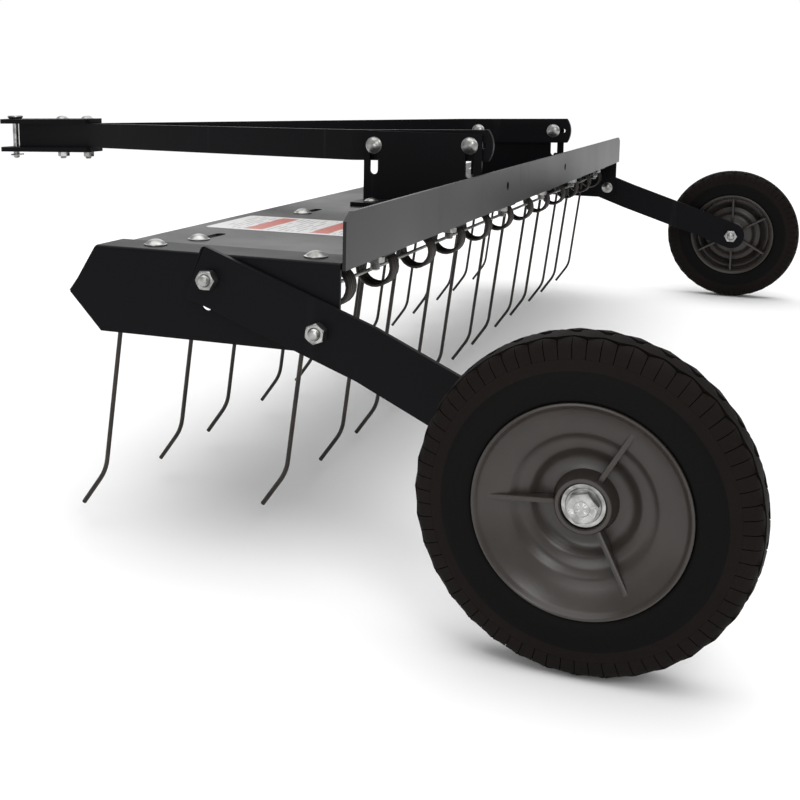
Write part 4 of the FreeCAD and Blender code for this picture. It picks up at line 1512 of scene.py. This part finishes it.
@dataclass(frozen=True)
class Studio:
    """A plain pale floor, soft light from large panels, and the camera."""

    camera_at: Vector = Vector((1.3536, 0.5107, 0.3447))
    yaw: float = 0.3612
    pitch: float = 0.1174
    roll: float = 0.0174
    lens: float = 54.13
    shift: Point2 = (0.0575, -0.228)
    floor_size: float = 30.0
    white: Colour = (0.93, 0.93, 0.93)
    air: float = 0.5
    ceiling: float = 2.0
    ceiling_spread: float = math.radians(70)
    panels: tuple[tuple[str, Colour, float, float], ...] = (
        ("key_panel", (1.9, 1.2, 1.5), 0.7, 9.0),
        ("low_panel", (1.7, 0.2, 0.35), 0.4, 2.0),
        ("back_panel", (-2.0, -1.2, 1.6), 1.8, 14.0))
    aim: Colour = (0.0, 0.2, 0.15)

    def build(self) -> None:
        """Set up the floor, the light and the camera."""
        self._floor()
        self._lights()
        self._camera()

    def _floor(self) -> None:
        """Lay the floor."""
        bpy.ops.object.select_all(action="DESELECT")
        bpy.ops.mesh.primitive_plane_add(size=self.floor_size, location=(0, 0, 0))
        floor = bpy.context.object
        floor.name = "studio_floor"
        sheet = NodeSheet("studio_floor_paint")
        sheet.feed(Base_Color=self.white, Roughness=0.9)
        floor.data.materials.append(sheet.material)

    def _lights(self) -> None:
        """Hang the panels and fill the room with even light."""
        world = bpy.data.worlds.new("studio_air")
        world.use_nodes = True
        nodes, links = world.node_tree.nodes, world.node_tree.links
        air, wall = nodes["Background"], nodes.new("ShaderNodeBackground")
        air.inputs["Strength"].default_value = self.air
        for background in (air, wall):
            background.inputs["Color"].default_value = (1.0, 1.0, 1.0, 1.0)
        seen, mix = nodes.new("ShaderNodeLightPath"), nodes.new("ShaderNodeMixShader")
        links.new(seen.outputs["Is Camera Ray"], mix.inputs[0])
        links.new(air.outputs[0], mix.inputs[1])
        links.new(wall.outputs[0], mix.inputs[2])
        links.new(mix.outputs[0], nodes["World Output"].inputs["Surface"])
        bpy.context.scene.world = world
        bpy.context.scene.view_settings.view_transform = "Standard"
        data = bpy.data.lights.new("ceiling", "SUN")
        data.energy, data.angle = self.ceiling, self.ceiling_spread
        ceiling = bpy.data.objects.new("ceiling", data)
        bpy.context.scene.collection.objects.link(ceiling)
        for name, place, size, power in self.panels:
            data = bpy.data.lights.new(name, "AREA")
            data.size, data.energy = size, power
            light = bpy.data.objects.new(name, data)
            bpy.context.scene.collection.objects.link(light)
            light.location = place
            way = Vector(self.aim) - Vector(place)
            light.rotation_euler = way.to_track_quat("-Z", "Y").to_euler()

    def _camera(self) -> None:
        """Stand the camera to the machine's left and a little above the deck."""
        ahead = Vector((-math.cos(self.yaw) * math.cos(self.pitch),
                        -math.sin(self.yaw) * math.cos(self.pitch), -math.sin(self.pitch)))
        right = ahead.cross(Vector((0, 0, 1))).normalized()
        up = right.cross(ahead)
        c, s = math.cos(self.roll), math.sin(self.roll)
        tilted_right, tilted_up = right * c + up * s, up * c - right * s
        turn = Matrix((tilted_right, tilted_up, -ahead)).transposed().to_4x4()
        data = bpy.data.cameras.new("camera")
        data.sensor_width = 36.0
        data.lens = self.lens
        data.shift_x, data.shift_y = self.shift
        data.clip_start = 0.01
        camera = bpy.data.objects.new("camera", data)
        bpy.context.scene.collection.objects.link(camera)
        camera.matrix_world = Matrix.Translation(self.camera_at) @ turn
        bpy.context.scene.camera = camera


def main() -> None:
    """Build the machine round its frame."""
    logging.basicConfig(level=logging.INFO, format="%(name)s: %(message)s")
    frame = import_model()
    bench = Bench(frame)
    coat, zinc, steel, plastic = PowderCoat(), ZincPlate(), TemperedWire(), MouldedPlastic()
    # The deck's paler dusty colour, laid thicker on upward faces, is partly dust and partly a painted sheen
    # for the grey reflection on the deck top.
    deck_coat = PowderCoat("powder_coat_deck", dusty=(0.055, 0.056, 0.058), gloss=0.30,
                           dust=0.7, shine=0.25)

    Steelwork(bench, coat, deck_coat).build()
    fasteners = Fasteners(bench, zinc)
    fasteners.build(bench.drawbar_up())
    spring = TineSpring(bench, steel)
    for number in range(1, 13):
        spring.build(number)
    CrossBars(bench, steel).build()
    CoilRod(bench, ZincPlate("zinc_plate_dull", dull=(0.16, 0.155, 0.145), roughness=0.32)).build()
    for side in Side:
        low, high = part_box(f"{side.word}_tyre")
        centre = (low + high) / 2
        rubber = TyreRubber(f"{side.word}_tyre_rubber", centre.y, centre.z, high.z - centre.z - 20 * MM)
        Tyre(bench).build(side, rubber)
        Rim(bench, plastic).build(side)
        Axle(bench, fasteners, zinc).build(side)
    HitchPin(bench, zinc).build()
    DeckLabel(bench).build()
    Studio().build()
    LOG.info("%d pieces fitted", bench.count)


if __name__ == "__main__":
    main()
